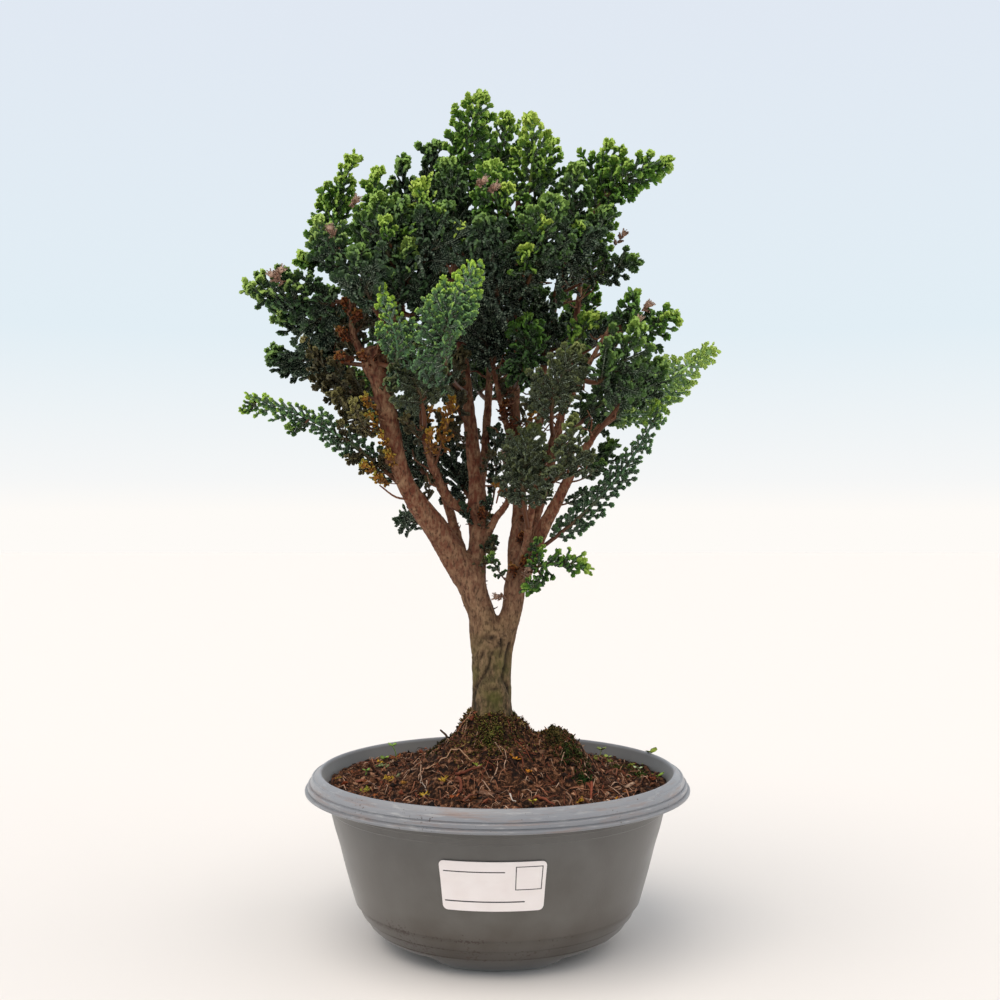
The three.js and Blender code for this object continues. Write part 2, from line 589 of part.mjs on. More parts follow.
function isClear(probe, neighbours) {
  const box = probe.boundingBox();
  return neighbours.every(({ solid, bounds }) => !boxesMeet(box, bounds) || probe.intersect(solid).isEmpty());
}

// The frame of a leaflet that leaves the rib between two stations.
function leafletFrame(a, b, side, degreesOut, tilt) {
  const rib = a.tangent.clone().add(b.tangent).normalize();
  const sideways = a.sideways.clone().add(b.sideways).normalize().multiplyScalar(side);
  const up = a.normal.clone().add(b.normal).normalize();
  const out = radians(degreesOut);
  const flat = rib.clone().multiplyScalar(Math.cos(out)).addScaledVector(sideways, Math.sin(out));
  const along = flat.multiplyScalar(Math.cos(radians(tilt))).addScaledVector(up, Math.sin(radians(tilt)));
  const across = rib.addScaledVector(along, -rib.dot(along)).normalize();
  const normal = new THREE.Vector3().crossVectors(along, across).multiplyScalar(side);
  const root = a.centre.clone().add(b.centre).multiplyScalar(0.5);
  return { root, along, across, normal, from: a.centre, to: b.centre, mirrored: side < 0 };
}

// The first way that a leaflet clears its neighbours: as it is, tilted further, or shorter.
function fitLeaflet(a, b, side, degreesOut, tilt, length, halfWidth, neighbours) {
  for (const share of clearShares) {
    for (const turn of clearTurns) {
      const frame = leafletFrame(a, b, side, degreesOut, tilt + turn);
      if (isClear(leafletProbe(frame, length * share, halfWidth), neighbours)) {
        return leafletPoints(frame, length * share, halfWidth, leafletRise);
      }
    }
  }
  return null;
}

function station(axis, t, facing) {
  const tangent = axis.getTangent(t);
  const sideways = new THREE.Vector3().crossVectors(tangent, facing).normalize();
  const normal = new THREE.Vector3().crossVectors(sideways, tangent);
  return { centre: axis.getPoint(t), tangent, sideways, normal };
}

// The half-width of a frond along its leafy part: it widens at once and narrows towards the tip.
function frondHalfWidth(width, share) {
  const belly = 0.62 + 0.38 * Math.sin(Math.PI * Math.min(1, 0.25 + share));
  return width / 2 * belly * (1 - 0.25 * share * share);
}

// One frond: a rib with a leaflet on each side at every step, cut to the rib, and one at the tip.
function frondSolid({ axis, facing, width, bare, seed }, start, neighbours) {
  const length = axis.getLength();
  const leafy = Math.max(2, Math.round(length * (1 - bare) / leafletSpacing) - 1);
  const step = (1 - bare) / (leafy + 0.9);
  const places = length * (bare - start) > longStem ? [start, (start + bare) / 2] : [start];
  const bareSpans = places.length;
  for (let i = 0; i <= leafy; i += 1) {
    places.push(bare + step * i);
  }
  const stations = places.map((t) => station(axis, t, facing));
  const body = new Body();
  const rows = stations.map((s, i) => {
    const slim = 1.05 - 0.35 * i / stations.length; // the rib thins towards its tip
    return {
      above: body.point(s.centre.clone().addScaledVector(s.normal, ribRise * slim)),
      below: body.point(s.centre.clone().addScaledVector(s.normal, -ribRise * slim)),
      left: body.point(s.centre.clone().addScaledVector(s.sideways, -stemHalfWidth * slim)),
      right: body.point(s.centre.clone().addScaledVector(s.sideways, stemHalfWidth * slim)),
    };
  });
  body.quad(rows[0].above, rows[0].left, rows[0].below, rows[0].right);
  for (let i = 0; i + 1 < stations.length; i += 1) {
    for (const side of [-1, 1]) {
      const edge = side < 0 ? 'left' : 'right';
      const share = (i - bareSpans + 0.5) / (leafy + 1);
      const leaflet = share < 0 ? null : sideLeaflet(stations, i, share, side, width, seed, neighbours);
      frondSpan(body, rows[i], rows[i + 1], edge, leaflet);
    }
  }
  frondTip(body, rows.at(-1), stations.at(-1), step * length, width, neighbours);
  return solidOf(body.geometry());
}

function sideLeaflet(stations, i, share, side, width, seed, neighbours) {
  const a = stations[i];
  const b = stations[i + 1];
  const luck = draw(seed * 97 + i * 7 + side);
  const degreesOut = leafletAngle - leafletClosing * share + leafletJitter * (luck - 0.5);
  const reach = 1 + leafletSpread * (luck - 0.5);
  const length = frondHalfWidth(width, share) / Math.sin(radians(degreesOut)) * reach;
  const halfWidth = 0.5 * a.centre.distanceTo(b.centre) * Math.sin(radians(degreesOut));
  const tilt = ((i % 2) * 2 - 1) * leafletTilt + leafletJitter * (luck - 0.5);
  return fitLeaflet(a, b, side, degreesOut, tilt, length, halfWidth, neighbours);
}

// One side of the rib between two stations, with a leaflet or bare.
function frondSpan(body, a, b, edge, leaflet) {
  const flip = edge === 'left';
  if (!leaflet) {
    const quads = [[a.above, a[edge], b[edge], b.above], [b.below, b[edge], a[edge], a.below]];
    quads.forEach((quad) => body.quad(...(flip ? quad.reverse() : quad)));
    return;
  }
  const outline = leaflet.outline.map((p) => body.point(p));
  body.fan(body.point(leaflet.above), [a.above, a[edge], ...outline, b[edge], b.above], flip);
  body.fan(body.point(leaflet.below), [a.below, a[edge], ...outline, b[edge], b.below], !flip);
}

// The leaflet at the tip of the rib, shaped as two half leaflets back to back.
function frondTip(body, row, end, reach, width, neighbours) {
  const length = Math.max(reach, tipLeaflet * width);
  const half = Math.min(0.2 * width, tipHalfWidth);
  const at = (u, v, w, grow) => end.centre.clone()
    .addScaledVector(end.tangent, u * (length + grow))
    .addScaledVector(end.sideways, v * (half + grow))
    .addScaledVector(end.normal, w);
  const probe = new Body();
  const edge = tipOutline.map(([u, v]) => at(u, v, 0, clearGrowth));
  const ring = [at(0.15, 0, 0, 0), ...edge].map((p) => probe.point(p));
  probe.fan(probe.point(at(0.5, 0, leafletRise + clearGrowth, 0)), ring, true);
  probe.fan(probe.point(at(0.5, 0, -leafletRise - clearGrowth, 0)), ring, false);
  if (!isClear(solidOf(probe.geometry()), neighbours)) {
    body.quad(row.above, row.right, row.below, row.left);
    return;
  }
  const outline = [row.left, ...tipOutline.map(([u, v]) => body.point(at(u, v, 0, 0))), row.right];
  body.fan(body.point(at(0.5, 0, leafletRise, 0)), [...outline, row.above], true);
  body.fan(body.point(at(0.5, 0, -leafletRise, 0)), [...outline, row.below], false);
}

// ---------------------------------------------------------------- assembly
function readSprays() {
  const groups = [];
  const counts = {};
  sprays.forEach(([limb, at, bend, tip, width, facing, bare, tone], seed) => {
    const forks = limb === 'fork';
    const start = forks ? groups.at(-1).fronds[0].axis.getPoint(at) : limbPointAt(limb, at);
    const sway = radians(facingSway[tone] * (draw(seed * 5 + 300) - 0.5));
    const face = vec(facing).normalize().applyAxisAngle(new THREE.Vector3(0, 0, 1), sway);
    const frond = { axis: sprayAxis(start, bend, tip), facing: face, width, bare, seed };
    if (forks) {
      groups.at(-1).fronds.push(frond);
    } else {
      counts[limb] = (counts[limb] ?? 0) + 1;
      groups.push({ name: `${limb}_spray_${counts[limb]}`, tone, fronds: [frond] });
    }
  });
  return groups;
}

function woodSolid() {
  const pieces = Object.entries(limbs).map(([name, limb]) => (
    limbSolid(limb, barky.includes(name) ? boleBark : limbBark)
  ));
  pieces.push(...stubs.map(stubSolid));
  return pieces.reduce((all, piece) => all.add(piece));
}

// The stem of a frond alone, from where it starts to its tip.
function ribSolid({ axis }, start) {
  const [a, b, c] = [start, (start + 1) / 2, 1].map((t) => axis.getPoint(t));
  const rib = sprayAxis(a, b.toArray(), c.toArray());
  return solidOf(taperedTube(rib, () => stemHalfWidth + gap, 5, 4));
}

// A spray's first frond stands clear of the wood, and its forks start inside that frond's rib.
function spraySolid(fronds, start, neighbours) {
  let spray = frondSolid(fronds[0], start, neighbours);
  for (const fork of fronds.slice(1)) {
    spray = spray.add(frondSolid(fork, 0, [...neighbours, withBounds(spray)]));
  }
  return spray;
}

function bonsai() {
  const model = new THREE.Group();
  const groups = readSprays();
  const wood = woodSolid();
  model.add(named('pot', potGeometry(), finish(colours.pot, 0.6)));
  model.add(named('label', labelGeometry(), finish(colours.label, 0.5)));
  const soil = solidOf(soilGeometry()).subtract(trunkHole());
  model.add(named('soil', geometryOf(soil), finish(colours.soil, 0.95)));
  model.add(named('trunk_and_branches', geometryOf(wood), finish(colours.bark, 0.9)));
  const placed = [withBounds(wood)];
  const starts = groups.map(({ fronds }) => clearStart(fronds[0], placed[0]));
  const ribs = groups.map(({ fronds }, i) => (
    fronds.map((frond, k) => withBounds(ribSolid(frond, k ? 0 : starts[i])))
  ));
  groups.forEach(({ name, tone, fronds }, i) => {
    const solid = spraySolid(fronds, starts[i], [...placed, ...ribs.slice(i + 1).flat()]);
    placed.push(withBounds(solid));
    model.add(named(name, geometryOf(solid), finish(tones[tone], 0.7)));
  });
  return model;
}

export default bonsai();
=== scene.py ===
import math

import bpy
import numpy as np
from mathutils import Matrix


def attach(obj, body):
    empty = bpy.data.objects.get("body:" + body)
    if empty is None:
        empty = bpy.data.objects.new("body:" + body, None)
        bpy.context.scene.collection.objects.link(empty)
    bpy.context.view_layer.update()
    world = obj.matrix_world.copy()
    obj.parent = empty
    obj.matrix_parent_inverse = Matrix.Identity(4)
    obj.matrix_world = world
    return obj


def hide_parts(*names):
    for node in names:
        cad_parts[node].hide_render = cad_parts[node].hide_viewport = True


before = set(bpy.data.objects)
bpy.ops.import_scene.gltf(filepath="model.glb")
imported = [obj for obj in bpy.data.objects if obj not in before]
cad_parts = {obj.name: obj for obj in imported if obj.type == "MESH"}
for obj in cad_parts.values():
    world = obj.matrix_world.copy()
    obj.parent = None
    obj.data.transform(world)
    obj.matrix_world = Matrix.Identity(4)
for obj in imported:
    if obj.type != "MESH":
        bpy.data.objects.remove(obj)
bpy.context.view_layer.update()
mm = 0.001
print("frame loaded")


# colours, nodes and meshes

def toLinear(code):
    # each sRGB channel c gives c / 12.92 when it is small, and else ((c + 0.055) / 1.055) ^ 2.4
    srgb = np.array([int(code[i:i + 2], 16) for i in (1, 3, 5)]) / 255
    return (*np.where(srgb <= 0.04045, srgb / 12.92, ((srgb + 0.055) / 1.055) ** 2.4), 1.0)


def addNode(tree, kind, sockets=(), take=0, stops=(), **settings):
    # sockets: values for the inputs in their order, or by name or number; another node's output is linked
    # stops: places and colours of a ramp; take: the output that is handed back
    node = tree.nodes.new("ShaderNode" + kind)
    for key, value in settings.items():
        setattr(node, key, value)
    for key, value in sockets.items() if isinstance(sockets, dict) else enumerate(sockets):
        if isinstance(value, bpy.types.NodeSocket):
            tree.links.new(value, node.inputs[key])
        else:
            node.inputs[key].default_value = value
    for i, (place, code) in enumerate(stops):
        stop = node.color_ramp.elements[i] if i < 2 else node.color_ramp.elements.new(place)
        stop.position, stop.color = place, toLinear(code)
    return node.outputs[take]


def startMaterial(name, roughness, gloss=0.5):
    # gloss: 0.5 for most plain surfaces, less for one that is broken up too finely to model
    material = bpy.data.materials.new(name)
    material.use_nodes = True
    tree = material.node_tree
    surface = tree.nodes["Principled BSDF"]
    surface.inputs["Roughness"].default_value = roughness
    surface.inputs["Specular IOR Level"].default_value = gloss
    return material, tree, surface


def layOver(tree, under, pattern, low, high, most, code, share=None):
    # a tint laid over a colour: none of it where the pattern is below low, most above high, times a share
    cover = addNode(tree, "MapRange", [pattern, low, high, 0.0, most])
    if share is not None:
        cover = addNode(tree, "Math", [cover, share], operation="MULTIPLY")
    return addNode(tree, "Mix", {0: cover, 6: under, 7: toLinear(code)}, 2, data_type="RGBA")


def linkSurface(tree, surface, outputs):
    # outputs: name of the surface's input -> the output that is linked to it
    for name, output in outputs.items():
        tree.links.new(output, surface.inputs[name])


def makeObject(name, points, faces, smooth=True):
    # faces: arrays of corner numbers, one row a face
    mesh = bpy.data.meshes.new(name)
    faces = [np.asarray(part, np.int32) for part in faces if len(part)]
    corners = np.concatenate([part.ravel() for part in faces])
    sizes = np.concatenate([np.full(len(part), part.shape[1]) for part in faces])
    mesh.vertices.add(len(points))
    mesh.vertices.foreach_set("co", np.asarray(points, np.float32).ravel())
    mesh.loops.add(len(corners))
    mesh.loops.foreach_set("vertex_index", corners)
    mesh.polygons.add(len(sizes))
    mesh.polygons.foreach_set("loop_start", (np.cumsum(sizes) - sizes).astype(np.int32))
    mesh.polygons.foreach_set("use_smooth", np.full(len(sizes), smooth))
    mesh.update(calc_edges=True)
    made = bpy.data.objects.new(name, mesh)
    bpy.context.scene.collection.objects.link(made)
    return made


def addPiece(name, points, faces, material, nodes=(), fields=None, smooth=True):
    # nodes: the CAD nodes it replaces; fields: values kept at the points, for the material
    piece = makeObject(name, points, faces, smooth)
    for field, values in (fields or {}).items():
        wide = np.ndim(values) == 2
        attribute = piece.data.attributes.new(field, "FLOAT_VECTOR" if wide else "FLOAT", "POINT")
        attribute.data.foreach_set("vector" if wide else "value", np.asarray(values, np.float32).ravel())
    piece.data.materials.append(material)
    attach(piece, "root")
    if nodes:
        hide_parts(*nodes)
    return piece


def finishedMesh(piece):
    # a new mesh as the piece's modifiers leave it
    bpy.context.view_layer.update()
    return bpy.data.meshes.new_from_object(piece.evaluated_get(bpy.context.evaluated_depsgraph_get()))


def unit(vectors):
    return vectors / np.maximum(np.linalg.norm(vectors, axis=-1, keepdims=True), 1e-12)


def gridFaces(rows, columns, closed=True):
    # quads between neighbouring rows and columns; a closed grid joins its last column to its first
    i, j = np.meshgrid(np.arange(rows - 1), np.arange(columns if closed else columns - 1), indexing="ij")
    a = i * columns + j
    b = i * columns + (j + 1) % columns
    return np.stack([a, b, b + columns, a + columns], axis=-1).reshape(-1, 4)


def fanFaces(middle, first, columns, outward=True):
    # triangles from a middle point to a closed row
    j = np.arange(columns)
    a, b = first + j, first + (j + 1) % columns
    return np.stack([np.full(columns, middle), *((a, b) if outward else (b, a))], axis=-1)


def shellFaces(rows, columns, flipped=False):
    # a closed grid with a middle point for each end; the two points follow those of the grid
    grid = gridFaces(rows, columns)
    return [grid[:, ::-1] if flipped else grid, fanFaces(rows * columns, 0, columns, flipped),
            fanFaces(rows * columns + 1, (rows - 1) * columns, columns, not flipped)]


def between(span, shares):
    return span[0] + (span[1] - span[0]) * shares


# an integer hash: three primes, a spin, a mask of 31 bits and the number of levels it gives
hashing = {"primes": (73856093, 19349663, 83492791), "spin": 1274126177, "mask": 0x7fffffff, "levels": 65521}


def noise(points, cell, seed=0):
    # from 0 to 1: a hashed value at each lattice corner, blended by t * t * (3 - 2 t) along each axis
    scaled = np.asarray(points, float) / cell + seed * 17.31
    corner = np.floor(scaled).astype(np.int64)
    t = scaled - corner
    t = t * t * (3 - 2 * t)
    total = np.zeros(len(scaled))
    for step in np.ndindex(2, 2, 2):
        key = (corner + step) * np.array(hashing["primes"])
        n = key[:, 0] ^ key[:, 1] ^ key[:, 2]
        n = ((n ^ (n >> 13)) * hashing["spin"]) & hashing["mask"]
        n = (n ^ (n >> 15)) % hashing["levels"]
        total += n / (hashing["levels"] - 1) * np.prod(np.where(step, t, 1 - t), axis=1)
    return total


# camera, light and floor

view = {"lens": 44.75, "sensor": 36, "place": (0.0013, -0.657, 0.2229), "pitch": 90.507}  # mm, m, degrees
camera = bpy.data.objects.new("camera", bpy.data.cameras.new("camera"))
camera.data.lens, camera.data.sensor_width = view["lens"], view["sensor"]
camera.data.clip_start = 0.01
camera.location = view["place"]
camera.rotation_euler = (math.radians(view["pitch"]), 0, 0)
bpy.context.scene.collection.objects.link(camera)
bpy.context.scene.camera = camera
bpy.context.scene.view_settings.view_transform = "Standard"

studio = {
    # sky colours by the sine of the height
    "sky": [(0.0, "#fefbf7"), (0.025, "#f6f7f7"), (0.14, "#e2eef5"), (0.42, "#e0e7f2"), (0.62, "#aab0b8")],
    "skyStrength": 1.0,
    "floor": "#edeae6", "floorHalf": 6.0, "floorDrop": 0.0002,  # m
    # name: degrees round from the front, degrees up, softness in degrees, strength, colour
    "suns": {"key": (-32, 66, 50, 1.55, "#fff3e7"), "left": (-82, 38, 60, 0.62, "#fff2e6"),
             "right": (80, 40, 60, 0.72, "#fff2e6")},
}
world = bpy.data.worlds.new("pale_sky")
world.use_nodes = True
bpy.context.scene.world = world
backdrop = world.node_tree.nodes["Background"]
way = addNode(world.node_tree, "TexCoord", take="Generated")
rise = addNode(world.node_tree, "SeparateXYZ", [way], "Z")
sky = addNode(world.node_tree, "ValToRGB", [rise], stops=studio["sky"])
world.node_tree.links.new(sky, backdrop.inputs["Color"])
backdrop.inputs["Strength"].default_value = studio["skyStrength"]
for name, (turn, up, softness, strength, tint) in studio["suns"].items():
    lamp = bpy.data.objects.new(name, bpy.data.lights.new(name, "SUN"))
    lamp.data.angle, lamp.data.energy, lamp.data.color = math.radians(softness), strength, toLinear(tint)[:3]
    lamp.rotation_euler = (math.radians(90 - up), 0, math.radians(turn))
    bpy.context.scene.collection.objects.link(lamp)

# a matt painted floor, a hair under the pot
floorPaint, tree, surface = startMaterial("matt_floor_paint", 0.9)
surface.inputs["Base Color"].default_value = toLinear(studio["floor"])
corners = np.array([[-1, -1], [1, -1], [1, 1], [-1, 1]]) * studio["floorHalf"]
corners = np.column_stack([corners, np.full(4, -studio["floorDrop"])])
floor = makeObject("floor", corners, [[[0, 1, 2, 3]]], smooth=False)
floor.data.materials.append(floorPaint)
print("camera, light and floor")


# pot: injection-moulded grey polypropylene

pot = {
    "columns": 216, "height": 88, "sharp": 22,  # mm; the least angle of a sharp edge in degrees
    # feet: how many, half of each one's angle, the slant of its ends, height of the gaps, outermost radius
    "footCount": 3, "footHalfAngle": 28.5, "footSlant": 2.5, "notchHeight": 6.5, "footReach": 74,
    "drains": 4, "drainRadius": 5.0, "drainRing": 32.0, "drainSpan": (4, 14), "drainSides": 32,
    # radius and height in mm: under the floor, foot and wall with moulded steps and faint rings, lip, inside
    "under": [(20, 8), (46, 8), (49, 7.6), (49.5, 7)],
    "outside": [(49.5, 0.5), (50, 0), (53, 0), (53.9, 0.35), (58, 2.9), (62, 6.0), (64.4, 8), (65.7, 9.4),
                (65.8, 10.2), (65.6, 10.5), (67.2, 10.6), (68.7, 13.2), (69.4, 14.4), (69.5, 15.2),
                (69.3, 15.5), (70.9, 15.6), (72.2, 18.4), (73.0, 20.3), (73.1, 21.3), (72.9, 21.6),
                (74.5, 21.7), (76, 26.8), (78.7, 36.4), (80.7, 44), (82.6, 51.7), (85.1, 60), (87.0, 67.5),
                (87.4, 69.6), (87.9, 70.1), (88.0, 71.2), (88.5, 73.0), (89.0, 73.5), (89.1, 74.6),
                (89.9, 79), (91.4, 84.3)],
    "lip": [(94.6, 83.6), (96.4, 81.6), (98.6, 78.4), (99.1, 77.9), (100.0, 77.9), (100.45, 78.2),
            (100.5, 78.9), (100.2, 79.4), (99.5, 79.6), (98.8, 79.65), (98.7, 80.0), (99.1, 80.3),
            (98.95, 81.2), (98.85, 81.9), (98.5, 82.2), (97.5, 82.25), (97.4, 82.7), (97.75, 83.0),
            (97.4, 84.0), (97.1, 85.0), (96.8, 85.5), (96.3, 85.75), (95.9, 85.6), (95.0, 86.3),
            (94.0, 87.2), (93.4, 87.8), (92.7, 88.0), (92.1, 87.6)],
    "inside": [(91.6, 86.3), (90.2, 83.4), (88.8, 80.6), (85, 68), (80.4, 51.7), (76.2, 36), (73.8, 27.9),
               (69, 19.5), (61.5, 11.4), (59.5, 10.5), (44, 10.5), (20, 10.5)],
    # grey plastic by height; painted shade darkens and browns the wall towards the foot, painted light pales
    # the lip upwards
    "wallTintAndShade": [(0.0, "#312a23"), (0.13, "#39322a"), (0.25, "#463f37"), (0.36, "#524e48"),
                 (0.85, "#504e4b")],
    "lipTintAndLight": [(0.87, "#727478"), (0.93, "#7e8085"), (1.0, "#878a8f")],
    # wear on the lip: stretch of the pattern, detail, roughness, its low and high ends, most of it, tint
    "lipWear": [((38.0, 38.0, 420.0), 5.0, 0.7, 0.52, 0.72, 0.6, "#866a5b"),
                ((120.0, 120.0, 900.0), 4.0, 0.5, 0.58, 0.74, 0.4, "#b9bab9")],
    # dust: the ledges it lies on, how wide it lies there, and the part of the wall it is thrown up on
    "ledges": (9.6, 14.4, 20.4), "drift": 1.5, "splashed": (3, 24), "wallFrom": 60,
    "onLedge": 0.2, "onWall": 0.1, "onLip": 0.13, "anywhere": 0.02,
}


def footCut(angle):
    # height of the arch over the ground: 0 at a foot, notchHeight between feet, with slanted ends
    turn = np.degrees(angle + np.pi / 2) % (360 / pot["footCount"])
    away = np.minimum(turn, 360 / pot["footCount"] - turn) - pot["footHalfAngle"]
    return pot["notchHeight"] * np.clip(0.5 + away / (2 * pot["footSlant"]), 0, 1)


def latheRows(profile, columns):
    # each profile point (r, z) becomes a ring of points at radius r and height z
    angle = 2 * np.pi * np.arange(columns) / columns
    r, z = np.array(profile, float).T
    ring = np.stack([np.cos(angle), np.sin(angle)], axis=-1)
    high = np.broadcast_to(z[:, None, None], (len(r), columns, 1))
    return np.concatenate([r[:, None, None] * ring, high], axis=-1), angle


profile = pot["under"] + pot["outside"] + pot["lip"] + pot["inside"]
rows, angle = latheRows(profile, pot["columns"])
low = (rows[..., 2] < pot["notchHeight"]) & (np.hypot(rows[..., 0], rows[..., 1]) < pot["footReach"])
rows[..., 2] = np.where(low, np.maximum(rows[..., 2], footCut(angle)[None, :]), rows[..., 2])
points = np.concatenate([rows.reshape(-1, 3), [[0, 0, profile[0][1]], [0, 0, profile[-1][1]]]])
potFaces = shellFaces(len(profile), pot["columns"])

potPlastic, tree, surface = startMaterial("moulded_grey_polypropylene", 0.4, 0.6)
# moulded PP: satin, scuffed on the lip, with soil dust caught on its ledges and steps; painted light pales
# the lip, most at its top, and painted shade darkens and browns the wall towards the foot
place = addNode(tree, "TexCoord", take="Object")
height = addNode(tree, "SeparateXYZ", [place], "Z")
level = addNode(tree, "MapRange", [height, 0.0, pot["height"] * mm, 0.0, 1.0])
onLip = addNode(tree, "Attribute", take="Fac", attribute_name="lipShare")
# painted shade: the wall darker towards the foot; painted light: the lip paler than the wall, most at its top
wallTintAndShade = addNode(tree, "ValToRGB", [level], stops=pot["wallTintAndShade"])
lipTintAndLight = addNode(tree, "ValToRGB", [level], stops=pot["lipTintAndLight"])
tint = addNode(tree, "Mix", {0: onLip, 6: wallTintAndShade, 7: lipTintAndLight}, 2, data_type="RGBA")
cloud = addNode(tree, "TexNoise", {"Vector": place, "Scale": 55.0, "Detail": 3.0})
tint = layOver(tree, tint, cloud, 0.35, 0.75, 0.12, "#9a9a98")
# reddish soil dust: fine specks, in drifts where it can lie
catch = addNode(tree, "Attribute", take="Fac", attribute_name="dustShare")
speck = addNode(tree, "TexNoise", {"Vector": place, "Scale": 760.0, "Detail": 1.0})
drift = addNode(tree, "TexNoise", {"Vector": place, "Scale": 60.0, "Detail": 2.0})
lying = addNode(tree, "Math", [drift, 0.5, speck], operation="MULTIPLY_ADD")
dust = addNode(tree, "Math", [lying, catch], operation="ADD")
tint = layOver(tree, tint, dust, 1.13, 1.2, 0.85, "#33221a")
# brown smears and pale rubbed streaks, drawn out round the lip
for stretch, detail, coarse, low, high, most, code in pot["lipWear"]:
    drawn = addNode(tree, "Mapping", {0: place, 3: stretch})
    streak = addNode(tree, "TexNoise", {"Vector": drawn, "Scale": 1.0, "Detail": detail, "Roughness": coarse})
    tint = layOver(tree, tint, streak, low, high, most, code, onLip)
grain = addNode(tree, "TexNoise", {"Vector": place, "Scale": 900.0, "Detail": 2.0})
linkSurface(tree, surface, {
    "Base Color": tint, "Roughness": addNode(tree, "MapRange", [cloud, 0.3, 0.7, 0.33, 0.48]),
    "Normal": addNode(tree, "Bump", {"Height": grain, "Strength": 0.12, "Distance": 0.0004})})
surface.inputs["Sheen Weight"].default_value = 0.3  # a film of dust pales it where it is seen edge on
surface.inputs["Sheen Roughness"].default_value = 0.35

r, z = np.array(profile, float).T
order = np.arange(len(profile)) - len(pot["under"]) - len(pot["outside"])
lipShare = ((order >= 0) & (order < len(pot["lip"]))).astype(float)
# dust lies along the steps near the foot, more on the left, and thinly on the lip
onWall = r > pot["wallFrom"]
ledges = sum(np.exp(-((z - ledge) / pot["drift"]) ** 2) for ledge in pot["ledges"]) * onWall
splashed = (z > pot["splashed"][0]) & (z < pot["splashed"][1]) & onWall
left = 1 - 0.5 * np.cos(angle)[None, :]
dustShare = (pot["onLedge"] * ledges + pot["onWall"] * splashed)[:, None] * left
dustShare += (pot["onLip"] * lipShare + pot["anywhere"])[:, None]
potFields = {"lipShare": np.concatenate([np.repeat(lipShare, pot["columns"]), [0, 0]]),
             "dustShare": np.concatenate([dustShare.ravel(), [0, 0]])}
bowl = addPiece("pot_moulding", points * mm, potFaces, potPlastic, ["pot"], potFields)
# the drainage holes: a closed cylinder for each is cut out of the floor
sides = pot["drainSides"]
drillPoints, drillFaces = [], []
for i in range(pot["drains"]):
    turn = math.radians((i + 0.5) * 360 / pot["drains"])
    rows, _ = latheRows([(pot["drainRadius"], z) for z in pot["drainSpan"]], sides)
    rows = rows.reshape(-1, 3) + [pot["drainRing"] * math.cos(turn), pot["drainRing"] * math.sin(turn), 0]
    drillPoints += [rows, [rows[:sides].mean(0), rows[sides:].mean(0)]]
    drillFaces += [part + i * (2 * sides + 2) for part in shellFaces(2, sides)]
drills = makeObject("drills", np.concatenate(drillPoints) * mm, drillFaces, smooth=False)
cut = bowl.modifiers.new("drain_holes", "BOOLEAN")
cut.operation, cut.object, cut.solver = "DIFFERENCE", drills, "EXACT"
drilled = finishedMesh(bowl)
bowl.modifiers.remove(cut)
bowl.data = drilled
drilled.set_sharp_from_angle(angle=math.radians(pot["sharp"]))
bpy.data.objects.remove(drills)
print("pot", len(drilled.polygons))


# label: self-adhesive film with a plain ruled form

label = {
    "width": 48.6, "height": 24.6, "thick": 0.5, "corner": 2.4, "bottom": 37.4, "turn": -1.4, "gap": 0.35,
    "columns": 61, "rows": 25,
    # printed bars: middle x, middle z, half length, half height, in mm
    "bars": [(-8.5, 7.2, 14, 0.28), (-4, -7.6, 19, 0.32), (16.5, 9.8, 6, 0.22), (16.5, -1.6, 6, 0.22),
             (10.5, 4.1, 0.22, 5.9), (22.5, 4.1, 0.22, 5.9)],
}


def wallRadius(z):
    r, h = np.array([p for p in pot["outside"] if 21 < p[1] < 84]).T  # the plain part of the wall
    return np.interp(z, h, r)


def labelPoints(lift):
    # a rectangle bent round the wall; near a corner the edge is pulled in along a quarter circle
    u = np.linspace(-1, 1, label["columns"])[None, :] * np.ones((label["rows"], 1))
    v = np.linspace(-1, 1, label["rows"])[:, None] * np.ones((1, label["columns"]))
    x, z = u * label["width"] / 2, v * label["height"] / 2
    c = label["corner"]
    inX, inZ = np.abs(x) - (label["width"] / 2 - c), np.abs(z) - (label["height"] / 2 - c)
    inside = (inX > 0) & (inZ > 0)
    reach = np.maximum(np.hypot(inX, inZ), 1e-9)
    shrink = np.where(inside, np.maximum(inX, inZ) / reach, 1.0)
    x = np.where(inside, np.sign(x) * (label["width"] / 2 - c + inX * shrink), x)
    z = np.where(inside, np.sign(z) * (label["height"] / 2 - c + inZ * shrink), z)
    middle = label["bottom"] + label["height"] / 2
    r = wallRadius(middle + z) + lift
    turn = x / wallRadius(middle) + math.radians(label["turn"] - 90)
    onWall = np.stack([r * np.cos(turn), r * np.sin(turn), middle + z], axis=-1)
    return onWall.reshape(-1, 3), np.stack([x, z, 0 * x], axis=-1).reshape(-1, 3)


back, flat = labelPoints(label["gap"])
front, _ = labelPoints(label["gap"] + label["thick"])
count = label["rows"] * label["columns"]
sheet = gridFaces(label["rows"], label["columns"], False)
index = np.arange(count).reshape(label["rows"], label["columns"])
rim = np.concatenate([index[0, :-1], index[:-1, -1], index[-1, :0:-1], index[:0:-1, 0]])
edge = np.stack([rim, np.roll(rim, -1), np.roll(rim, -1) + count, rim + count], axis=-1)

labelFilm, tree, surface = startMaterial("white_adhesive_film", 0.42)
